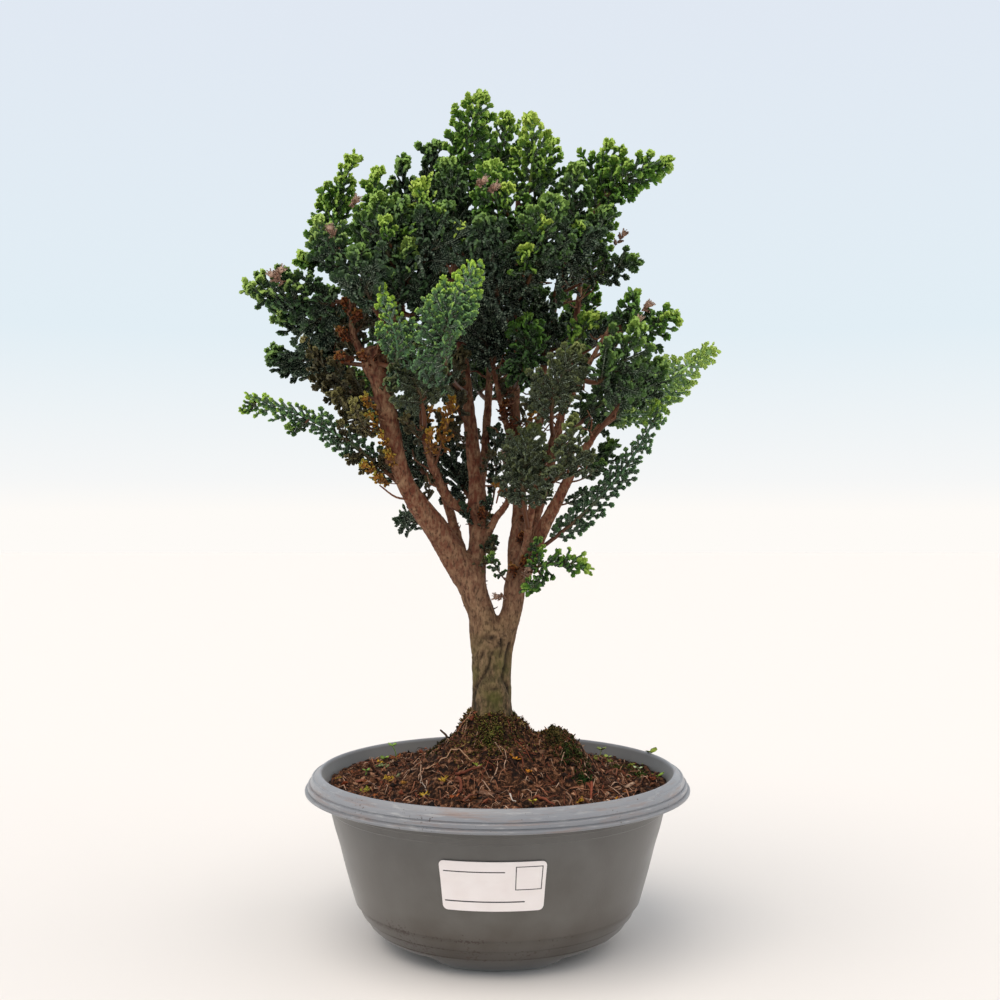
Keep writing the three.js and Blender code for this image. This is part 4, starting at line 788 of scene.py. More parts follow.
litter = {
    "fibres": 1800, "crumbs": 1950, "crumbHalf": (0.4, 1.8), "edge": 86,  # mm; nothing starts past the edge
    "fibreTints": ["#54341f", "#774a34", "#915e45", "#b07c5e", "#2f1d15", "#c8a48a", "#834833", "#43291d"],
    "crumbTints": ["#22150f", "#432a1e", "#66412e", "#7d563f", "#160e0a", "#9c7459", "#7a422d", "#593826",
                   "#38231a", "#4c2e1f"],
    # roots: points (x, y, height over the soil), half-width in mm, colour
    "roots": [([(-38, -21, 0.6), (-35.8, -19.4, 1.0), (-31, -18, 1.8), (-27.2, -17.4, 2.2),
                (-22.5, -18.5, 2.2), (-18.8, -20.3, 2.0), (-14.5, -23.5, 0.9),
                (-12.5, -24.8, 0.3)], 0.33, "#c39b7b"),
              ([(-35, -17, 0.5), (-37.5, -21, 1), (-39.5, -24.5, 0.8)], 0.36, "#8d6650"),
              ([(-38.5, -24.2, 0.6), (-38.8, -29, 1.4), (-36.9, -35.5, 1.5),
                (-33.2, -45.7, 0.6)], 0.24, "#b9a899"),
              ([(6, -50, 0.6), (6.6, -55, 1.6), (8.8, -64.5, 1.2)], 0.36, "#c9bdb2"),
              ([(45.6, -24, 0.6), (47.3, -31, 1.6), (46.4, -40, 1.4), (45.9, -47.3, 0.6)], 0.7, "#8a4a35"),
              ([(17.5, -51.5, 0.9), (22, -55, 1.5), (27.5, -58.5, 0.8)], 0.8, "#7d4632"),
              ([(-20.2, -36.5, 0.5), (-17.9, -42, 1.5), (-18.7, -52.4, 0.9)], 0.95, "#6d3d2c"),
              ([(-16.5, -57, 0.7), (-13.4, -52, 1.7), (-10, -47, 0.8)], 0.6, "#7d4e3b"),
              ([(-21, -31.5, 0.8), (-15, -33.5, 1.3), (-8, -32.5, 1.1)], 0.8, "#6b3a2a"),
              ([(33, -44, 0.6), (36, -52, 2.2), (34, -60, 1.0)], 0.4, "#8b6a55"),
              ([(58, 4, 0.8), (63, 0, 2.6), (60, -7, 2.8), (56, -12, 0.8)], 0.5, "#85543f"),
              ([(-70, 8, 0.6), (-63, 1, 2.4), (-57, -6, 2.0), (-52, -10, 0.5)], 0.5, "#6a4534"),
              ([(-26, 16, 0.5), (-28, 17, 6), (-31, 18, 9.5)], 0.7, "#4c3a30"),
              ([(-44, 50, 0.5), (-30, 57, 2), (-12, 55, 0.8)], 0.6, "#7a5541"),
              ([(20, 60, 0.6), (34, 52, 2), (45, 50, 0.8)], 0.5, "#8d6650")],
    # fallen sprigs: x, y, way they point in degrees, length in mm, shoots, colour
    "sprigs": [(-57.1, -14.9, 70, 6.5, 11, "#c39a34"), (-48.5, -26.2, 20, 4.2, 7, "#b5803a"),
               (-27.8, -35.1, 60, 5.6, 9, "#bb9632"), (-35.8, -44.6, 75, 5.4, 9, "#c4a13a"),
               (-83.6, -2, 100, 4.0, 6, "#c9a23c"), (-67.5, -28.4, 30, 5, 9, "#a9a33a"),
               (-66.5, -20.5, 110, 5, 7, "#a0623a"), (-79.5, -14.2, 10, 5.4, 8, "#a04a22"),
               (-77.4, 14, 40, 6.0, 9, "#9a5c3a"), (-58.5, 55, 120, 6.0, 8, "#b0693a"),
               (8.9, -27.1, 90, 4.2, 6, "#d38b25"), (15.9, -30, 0, 3.4, 5, "#c9822a"),
               (39.7, -59.3, 15, 5.2, 9, "#c39832"), (58.5, -46.4, 60, 3.6, 5, "#c98a2c"),
               (-63.5, 26.6, 70, 5, 7, "#8fa06a"), (-52, -7.7, 30, 4, 6, "#a3a878"),
               (-9.9, -29.7, 80, 4.2, 7, "#93a03f"), (73, 27.8, 60, 4.4, 6, "#9ba53c"),
               (82.7, 39.4, 20, 4.2, 6, "#c9a032"), (80.1, -8.2, 30, 6, 7, "#9c5433"),
               (-12.2, -52.5, 10, 5, 6, "#8a5a34"), (-22, -59, 60, 4.4, 6, "#a85a2e"),
               (54, 40, 75, 4.6, 8, "#a2a34a"), (64, 46, 130, 4, 6, "#8f9a44"),
               (-60, -40, 160, 4.4, 6, "#9a5a30"), (30, 66, 40, 5, 8, "#c9982c"),
               (-20, 68, 100, 5, 8, "#b9722c"), (-66, 38, 10, 4.4, 6, "#cfa02e"),
               (66, -30, 200, 3.6, 6, "#b06a2e")],
    # wood chips: x, y, way, length and half-width in mm, colour
    "chips": [(55, -32.2, 80, 6.4, 1.5, "#c6a68a"), (67.5, -22.4, 55, 7.6, 1.4, "#bd9c82"),
              (60.5, -27, 20, 3.4, 1.0, "#8d6a52"), (13.1, -17.2, -50, 5.4, 0.5, "#cdb08e"),
              (-5.1, -48.7, 160, 8.0, 2.9, "#86604a"), (-71, -7, 25, 7, 1.6, "#7d4a38"),
              (-30, 62, 40, 6, 1.4, "#a5866c"), (40, 57, 100, 6, 1.5, "#9c7a60"),
              (-60, 44, 70, 5, 1.2, "#b59478"), (44.5, 7.5, 60, 9, 0.7, "#a58871"),
              (31, 9, 200, 5, 0.8, "#5a4032"), (-44, -52, 20, 5, 1.2, "#5f3d2e")],
    # seedlings: x, y, height, lean in x and y, leaf length, leaves, colour
    "seedlings": [(-58, 52, 9.5, -1.5, -4, 3.2, 4, "#8fb352"), (-62, 47, 3.2, -2, -2, 3.4, 4, "#7f9a3c"),
                  (80, 38, 6.5, 6, 2, 5.2, 2, "#8a9a3a"), (57, 55, 5.5, 2, -2, 3.6, 4, "#8f9c52"),
                  (84.2, 5.6, 2.6, 1, -1, 4.0, 2, "#86a838"), (77.4, 12, 3.8, -2, 1, 3.0, 3, "#a9b98a"),
                  (16, -61, 2.4, 1, 0, 2.6, 3, "#b5a63a"), (62, 36, 4, -1, 2, 3, 4, "#93a04c"),
                  (-70, -2, 3, 1, 1, 2.6, 3, "#6f8f3a")],
    # moss: x, y, reach, shoots, colours
    "moss": [(-3, -2, 25, 2050,
              ["#6b5c2e", "#a08c48", "#4a4420", "#b39a5c", "#6b4a2e", "#c2ae62", "#8a6040", "#4a5823"]),
             (-3, -17, 11, 700, ["#5f5f2a", "#888d3c", "#3f4220", "#8a6d40"]),
             (31, -4, 10, 620, ["#5a5a2c", "#4a4a22", "#7a6a38", "#8a7040"]),
             (36, -11, 7, 300, ["#34481e", "#4a5f26", "#3a3a1c"]),
             (42, -8, 8, 240, ["#46582a", "#5a6a30", "#5e4a2c"]),
             (24, 6, 12, 380, ["#50452a", "#66603a", "#3c321e"]), (44, -22, 6, 200, ["#3b5c22", "#2c4a1c"]),
             (70, 22, 13, 260, ["#6a6a34", "#51602c"]), (78, 8, 9, 140, ["#4c6a2a", "#66762f"]),
             (-30, 8, 12, 280, ["#3f3a20", "#54502c"]),
             (0, 24, 14, 440, ["#3f4a22", "#54602c", "#4a3f24"])],
}
upright = np.array([0.02, 0.03, 1.0])
soilRng = np.random.default_rng(7)


def tintsOf(codes, count, each):
    # a colour drawn for each item, given to all its points
    palette = np.array([toLinear(code)[:3] for code in codes])
    picked = palette[soilRng.integers(len(palette), size=count)] * (0.8 + 0.4 * soilRng.random((count, 1)))
    return np.repeat(picked, each, axis=0)


def plainTint(code, points):
    return np.tile(toLinear(code)[:3], (len(points), 1))


def joinTinted(parts):
    # puts (points, faces, tints) parts into one
    return *joinParts([part[:2] for part in parts]), np.concatenate([part[2] for part in parts])


def lyingFibres():
    # threads that start anywhere on the soil and bend as they go, their middles arched up
    n = litter["fibres"]
    r, a = 85 * np.sqrt(soilRng.random(n)), 2 * np.pi * soilRng.random((2, n))
    angle = a[1][:, None] + soilRng.normal(0, 1.3, n)[:, None] * np.linspace(0, 1, 4)
    size = 3 + 10 * soilRng.random(n) ** 2
    x = (r * np.cos(a[0]))[:, None] + size[:, None] / 3 * np.cumsum(np.cos(angle), axis=1)
    y = (r * np.sin(a[0]))[:, None] + size[:, None] / 3 * np.cumsum(np.sin(angle), axis=1)
    pull = np.minimum(1, 86.5 / np.hypot(x, y))
    x, y = x * pull, y * pull
    arch = np.sin(np.pi * np.linspace(0, 1, 4)) * (0.3 + 2.4 * soilRng.random((n, 1)) ** 2)
    centres = np.stack([x, y, soilTop(x, y) + arch + 0.1], axis=-1)
    across, up = frames(unit(centres[:, -1] - centres[:, 0]), np.array([0.02, 0.01, 1.0]))
    halves = (0.13 + 0.26 * soilRng.random((n, 1)) ** 2) * np.array([0.8, 1.1, 1.0, 0.5])
    points, faces, _ = fingers(centres, across, up, halves, 0.8, 3)
    return points, faces, tintsOf(litter["fibreTints"], n, len(points) // n)


def lyingCrumbs():
    # bark crumbs: octahedra pulled out of square, each turned its own way and half sunk
    n = litter["crumbs"]
    r, a = litter["edge"] * np.sqrt(soilRng.random(n)), 2 * np.pi * soilRng.random(n)
    x, y = r * np.cos(a), r * np.sin(a)
    half = between(litter["crumbHalf"], soilRng.random(n) ** 3)
    one = unit(soilRng.normal(size=(n, 3)))
    two, three = frames(one, np.array([0.31, 0.2, 0.93]))
    arms = np.stack([one * 1.5, -one, two, -two, three * 0.7, -three * 0.7], axis=1)
    arms = arms * half[:, None, None] * (0.7 + 0.6 * soilRng.random((n, 6, 1)))
    points = np.stack([x, y, soilTop(x, y) + 0.25 * half], axis=-1)[:, None] + arms
    sides = np.array([[0, 2, 4], [2, 1, 4], [1, 3, 4], [3, 0, 4], [2, 0, 5], [1, 2, 5], [3, 1, 5], [0, 3, 5]])
    faces = (sides[None] + 6 * np.arange(n)[:, None, None]).reshape(-1, 3)
    return points.reshape(-1, 3), [faces], tintsOf(litter["crumbTints"], n, 6)


def lyingRoots():
    parts = []
    for path, half, tint in litter["roots"]:
        x, y, lift = smoothPath(path, 4).T
        centres = np.stack([x, y, soilTop(x, y) + lift], axis=-1)
        points, faces = tube(centres, half * np.linspace(1.1, 0.7, len(x)), upright, 6)
        parts.append((points, faces, plainTint(tint, points)))
    return joinTinted(parts)


def fallenSprigs():
    # each a small flat fan of blunt shoots; chips are single flat blunt boxes
    parts = []
    for x, y, way, size, count, tint in litter["sprigs"]:
        turn = np.radians(way + np.linspace(-85, 85, count) + 60 * (soilRng.random(count) - 0.5))
        rise = 0.1 + 0.9 * soilRng.random(count)
        heading = unit(np.stack([np.cos(turn), np.sin(turn), rise], axis=-1))
        start = np.array([x, y, ground(x, y) + 0.7])
        start = start + 0.22 * size * soilRng.normal(size=(count, 3)) * [1, 1, 0.3]
        centres = alongRays(start, size * (0.25 + 0.4 * soilRng.random(count)), heading, [0, 0.5, 0.9])
        halves = 0.58 * np.array([[0.6, 1.0, 1.1]]) * np.ones((count, 1))
        points, faces, _ = fingers(centres, *frames(heading, upright), halves, 0.5)
        parts.append((points, faces, tintsOf([tint], count, len(points) // count)))
    for x, y, way, size, half, tint in litter["chips"]:
        turn = math.radians(way)
        heading = unit(np.array([[math.cos(turn), math.sin(turn), 0.12]]))
        centres = alongRays(np.array([x, y, ground(x, y) + 0.8]), size, heading, [-0.5, 0, 0.45])
        across, up = frames(heading, np.array([0.1, 0.05, 1.0]))
        points, faces, _ = fingers(centres, across, up, half * np.array([[0.9, 1.05, 0.9]]), 0.45)
        parts.append((points, faces, tintsOf([tint], 1, len(points))))
    return joinTinted(parts)


def seedlings():
    # a bent stem with a ring of leaves at its top
    parts = []
    for x, y, tall, leanX, leanY, size, leaves, tint in litter["seedlings"]:
        foot = np.array([x, y, ground(x, y) - 0.5])
        top = foot + [leanX, leanY, tall]
        s = np.linspace(0, 1, 5)[:, None]
        stem = foot + (top - foot) * s + np.sin(np.linspace(0, np.pi, 5))[:, None] * [0.1 * tall, 0, 0]
        points, faces = tube(stem, np.full(5, 0.28), np.array([0.3, 0.9, 0.1]), 5)
        parts.append((points, faces, plainTint(tint, points)))
        turn = 2 * np.pi * np.arange(leaves) / leaves + soilRng.random()
        rise = 0.3 + 0.3 * soilRng.random(leaves)
        heading = unit(np.stack([np.cos(turn), np.sin(turn), rise], axis=-1))
        centres = alongRays(top, size, heading, [0, 0.3, 0.7, 0.95])
        halves = size * np.array([[0.08, 0.34, 0.4, 0.2]]) * np.ones((leaves, 1))
        points, faces, _ = fingers(centres, *frames(heading, upright), halves, 0.16, 6)
        parts.append((points, faces, tintsOf([tint], leaves, len(points) // leaves)))
    return joinTinted(parts)


def mossShoots():
    # tiny tapering shoots square to the soil, thick at the middle of each cushion and thinning out
    parts = []
    for x, y, reach, count, codes in litter["moss"]:
        r, a = reach * np.abs(soilRng.normal(0, 0.5, count)), 2 * np.pi * soilRng.random(count)
        px, py = x + r * np.cos(a), y + r * np.sin(a)
        inPot = np.hypot(px, py) < litter["edge"]
        px, py = px[inPot], py[inPot]
        n = len(px)
        foot = np.stack([px, py, soilTop(px, py) - 0.2], axis=-1)
        slopeX = soilTop(px + 1, py) - soilTop(px - 1, py)
        slopeY = soilTop(px, py + 1) - soilTop(px, py - 1)
        square = np.stack([-0.5 * slopeX, -0.5 * slopeY, np.ones(n)], axis=-1)
        heading = unit(square + 0.55 * soilRng.normal(size=(n, 3)))
        centres = alongRays(foot, 1.0 + 1.5 * soilRng.random(n), heading, [0, 0.75])
        halves = (0.3 + 0.2 * soilRng.random((n, 1))) * np.array([[1.0, 0.8]])
        points, faces, _ = fingers(centres, *frames(heading, np.array([0.31, 0.9, 0.3])), halves, 0.9, 3)
        parts.append((points, faces, tintsOf(codes, n, len(points) // n)))
    return joinTinted(parts)


def plantMaterial(name, roughness, cell):
    # one colour an item, mottled at a scale of one cell in metres
    material, tree, surface = startMaterial(name, roughness, 0.2)
    tint = addNode(tree, "Attribute", take="Vector", attribute_name="tint")
    place = addNode(tree, "TexCoord", take="Object")
    mottle = addNode(tree, "TexNoise", {"Vector": place, "Scale": 1 / cell, "Detail": 3.0})
    shade = addNode(tree, "MapRange", [mottle, 0.3, 0.7, 0.65, 1.25])
    mixed = addNode(tree, "VectorMath", {0: tint, 3: shade}, operation="SCALE")
    linkSurface(tree, surface, {"Base Color": mixed})
    return material


# dry peat fibre and bark: matt, fibrous; moss and leaves: soft, a little shine where damp
dryFibre = plantMaterial("dry_peat_fibre", 0.85, 0.0016)
softLeaf = plantMaterial("fallen_and_seedling_leaf", 0.6, 0.0022)
dampMoss = plantMaterial("damp_cushion_moss", 0.75, 0.003)
for name, build, material, smooth in (
        ("peat_fibres", lyingFibres, dryFibre, True), ("bark_crumbs", lyingCrumbs, dryFibre, False),
        ("surface_roots", lyingRoots, dryFibre, True), ("fallen_sprigs", fallenSprigs, softLeaf, True),
        ("seedlings", seedlings, softLeaf, True), ("moss_cushions", mossShoots, dampMoss, True)):
    points, faces, tint = build()
    addPiece(name, points * mm, faces, material, fields={"tint": tint}, smooth=smooth)
print("litter and moss")


# foliage: flat fans of scale-leaved shoots
# limb (or 'fork' for a side frond of the row above), height on it or share of that frond, bend, tip, width,
# the way its face looks, bare share of its stem, tone

sprays = [
    ["left_bough", 229, [-83, -22, 262.5], [-121, -48, 278.5], 20, [0, -10, 5], 0.12, "fresh"],
    ["left_bough", 296, [-94, 0, 302.5], [-119, 8, 305.5], 30, [0, -8, 5], 0.22, "dark"],
    ["fork", 0.35, [-84, -4, 314], [-86, -8, 336], 30, [0, -10, 2], 0.15, "dark"],
    ["left_bough", 280, [-79, -12, 287], [-100, -6, 312], 26, [-3, -10, 2], 0.18, "olive"],
    ["left_bough", 262, [-70, -22, 268], [-81, -27, 281], 15, [0, -10, 2], 0.24, "olive"],
    ["fork", 0.25, [-66, -34, 264], [-71, -42, 276], 12, [0, -10, 3], 0.15, "gold"],
    ["left_bough", 299, [-48, -60, 297], [-55, -66, 327], 26, [2, -10, 1], 0.2, "fresh"],
    ["left_bough", 210, [-44, 12, 217], [-53, 25, 218], 13, [0, -6, 8], 0.25, "dark"],
    ["left_riser", 330, [-96, -34, 328], [-122, -48, 332], 34, [0, -10, 4], 0.16, "fresh"],
    ["fork", 0.22, [-94, -26, 319], [-108, -28, 321], 30, [0, -10, 3], 0.15, "dark"],
    ["left_riser", 351, [-88, 4, 374], [-77, 6, 412], 28, [0, -10, 1], 0.2, "fresh"],
    ["fork", 0.42, [-95, 0, 358], [-101, -4, 356], 16, [0, -10, 5], 0.3, "mid"],
    ["left_riser", 352, [-64, -16, 370], [-62, -12, 398.5], 29, [0, -10, 3], 0.2, "fresh"],
    ["left_riser", 334, [-78, -42, 346], [-88, -48, 364], 26, [-3, -10, 2], 0.25, "bright"],
    ["left_crown", 316, [-60, -54, 322], [-68, -60, 347], 34, [-1, -10, 1], 0.4, "dark"],
    ["left_crown", 339, [-55, -44, 352], [-60, -36, 378], 34, [0, -10, 2], 0.2, "mid"],
    ["left_crown", 369, [-38, -42, 370], [-38, -48, 382], 30, [0, -10, 3], 0.15, "bright"],
    ["left_crown", 347, [-34, -50, 348], [-26, -52, 370], 34, [1, -10, 1], 0.2, "dark"],
    ["left_crown", 324, [-38, -44, 322], [-32, -36, 346], 34, [1, -10, 1], 0.2, "dark"],
    ["left_leader", 361, [-17.5, 0, 408], [-8.5, 0, 442.5], 31, [0, -10, 1], 0.2, "fresh"],
    ["left_leader", 342, [-43, 22, 371], [-53, 24, 414], 28, [0, -10, 0], 0.25, "dark"],
    ["fork", 0.4, [-37, 14, 396], [-33.5, 12, 418.5], 25, [0, -10, 2], 0.1, "mid"],
    ["left_leader", 345, [-21, -20, 370], [-25, -20, 401], 34, [0, -10, 2], 0.2, "mid"],
    ["left_leader", 286, [-25, -74, 300], [-9, -78, 338], 32, [0, -10, 1], 0.25, "bright"],
    ["left_leader", 268, [-22, -6, 282], [-18, -12, 304], 16, [2, -10, 0], 0.2, "olive"],
    ["left_leader", 226, [-21, 29, 240], [-28, 29, 268], 26, [0, -6, 8], 0.2, "dark"],
    ["left_leader", 212, [-2, 24, 232], [-2, 32, 267], 12, [0, -10, 0], 0.5, "dark"],
    ["inner_left", 263, [-38, -48, 280], [-47, -54, 302], 32, [0, -10, 2], 0.3, "grey"],
    ["fork", 0.45, [-33, -44, 283], [-26, -44, 299], 26, [1, -10, 1], 0.15, "grey"],
    ["inner_left", 245, [-27, -26, 263], [-24, -28, 279], 12, [0, -10, 0], 0.2, "gold"],
    ["centre_slip", 233, [12, -16, 244], [15, -20, 259], 22, [0, -10, 0], 0.2, "grey"],
    ["inner_right", 294, [-6, -14, 312], [-4, -16, 334], 30, [0, -10, 1], 0.15, "dark"],
    ["middle_leader", 374, [18, -12, 400], [16.5, -15, 426], 27, [0, -10, 1], 0.2, "bright"],
    ["middle_leader", 361, [22, 8, 390], [29, 10, 421], 21, [0, -10, 2], 0.25, "fresh"],
    ["middle_leader", 345, [2, -30, 367], [-3, -34, 396], 34, [0, -10, 3], 0.2, "fresh"],
    ["middle_leader", 332, [19, -42, 346], [26, -48, 376], 36, [1, -10, 2], 0.2, "mid"],
    ["middle_leader", 316, [-1, -40, 334], [-6, -50, 364], 38, [0, -10, 1], 0.25, "dark"],
    ["middle_leader", 288, [14, -14, 300], [14, -22, 320], 28, [0, -10, 2], 0.2, "fresh"],
    ["fork", 0.3, [18, -12, 288], [17, -12, 302], 16, [0, -10, 1], 0.2, "mid"],
    ["right_leader", 363, [63, -8, 393], [88, -10, 404], 25, [0, -10, 4], 0.25, "fresh"],
    ["fork", 0.35, [56, -4, 400], [58, -2, 415], 27, [0, -10, 3], 0.1, "fresh"],
    ["right_leader", 349, [48.5, -18, 362], [55.5, -20, 376], 18, [1, -10, 3], 0.2, "mid"],
    ["fork", 0.2, [39, -17, 378], [40, -18, 399], 22, [0, -10, 3], 0.15, "fresh"],
    ["right_leader", 339, [53, -4, 347], [70, -6, 353], 15, [0, -10, 4], 0.25, "mid"],
    ["right_leader", 330, [32, -30, 344], [42, -38, 363], 32, [1, -10, 1], 0.4, "dark"],
    ["right_leader", 302, [26, -2, 318], [21, -6, 337], 26, [0, -10, 2], 0.15, "mid"],
    ["fork", 0.2, [42, 6, 315], [55, 10, 325], 18, [0, -10, 3], 0.2, "bright"],
    ["right_leader", 277, [35, 26, 291], [48, 30, 314], 24, [0, -10, 3], 0.3, "grey"],
    ["right_bough", 265, [84, 8, 288], [120.5, 38, 313.5], 31, [1, -10, 2], 0.12, "fresh"],
    ["right_bough", 260, [67, -28, 282], [80, -30, 296], 27, [0, -10, 2], 0.25, "mid"],
    ["right_bough", 242, [52, 5, 246], [61, 8, 257], 14, [0, -10, 4], 0.25, "mid"],
    ["right_bough", 200, [60, -4, 237], [85.5, -10, 279.5], 20, [0, -9, 6], 0.1, "fresh"],
    ["front_right", 213, [13, -40, 238], [18, -44, 263], 30, [-2, -10, -2], 0.2, "grey"],
    ["front_right", 235, [32, -44, 243], [37, -54, 267], 30, [2, -10, -2], 0.2, "grey"],
    ["front_right", 260, [28, -50, 279], [39, -54, 302], 32, [0, -10, 0], 0.2, "grey"],
    ["front_right", 289, [55, -52, 289], [68, -56, 312], 34, [1, -10, 0], 0.2, "mid"],
    ["front_right", 316, [74, -28, 316], [88, -30, 320], 25, [0, -10, 5], 0.2, "fresh"],
    ["fork", 0.35, [68, -38, 320], [68, -36, 329.5], 24, [0, -10, 3], 0.1, "mid"],
    ["right_trunk", 186, [26, -22, 195.8], [44, -35, 194.3], 13, [0, -7, 8], 0.22, "fresh"],
    ["fork", 0.3, [22, -23, 189], [17, -25, 184], 12, [0, -10, 3], 0.2, "mid"],
    ["rear_left", 235, [-46, 28, 254], [-46, 32, 286], 32, [0, -10, 1], 0.2, "dark"],
    ["rear_left", 263, [-68, 54, 282], [-92, 60, 306], 30, [-4, 10, 3], 0.2, "mid"],
    ["rear_left", 300, [-60, 66, 322], [-68, 74, 350], 34, [-2, 10, 2], 0.2, "fresh"],
    ["fork", 0.4, [-70, 58, 368], [-66, 44, 402], 30, [-3, 10, 2], 0.15, "fresh"],
    ["rear_centre", 285, [-14, 66, 300], [-20, 76, 330], 36, [0, 10, 2], 0.2, "mid"],
    ["fork", 0.3, [4, 66, 306], [14, 72, 334], 32, [1, 10, 2], 0.15, "mid"],
    ["rear_centre", 350, [-22, 62, 372], [-30, 60, 402], 32, [0, 10, 2], 0.2, "mid"],
    ["fork", 0.2, [14, 64, 372], [20, 58, 398], 32, [1, 10, 2], 0.15, "mid"],
    ["rear_centre", 396, [1, 29, 418], [5, 24, 438], 28, [0, 10, 2], 0.2, "fresh"],
    ["rear_right", 262, [60, 54, 284], [82, 60, 308], 32, [4, 10, 3], 0.2, "mid"],
    ["rear_right", 300, [42, 66, 321], [39, 74, 350], 25, [2, 10, 2], 0.2, "fresh"],
    ["fork", 0.4, [53, 58, 368], [61, 42, 400], 27, [3, 10, 2], 0.15, "fresh"],
]

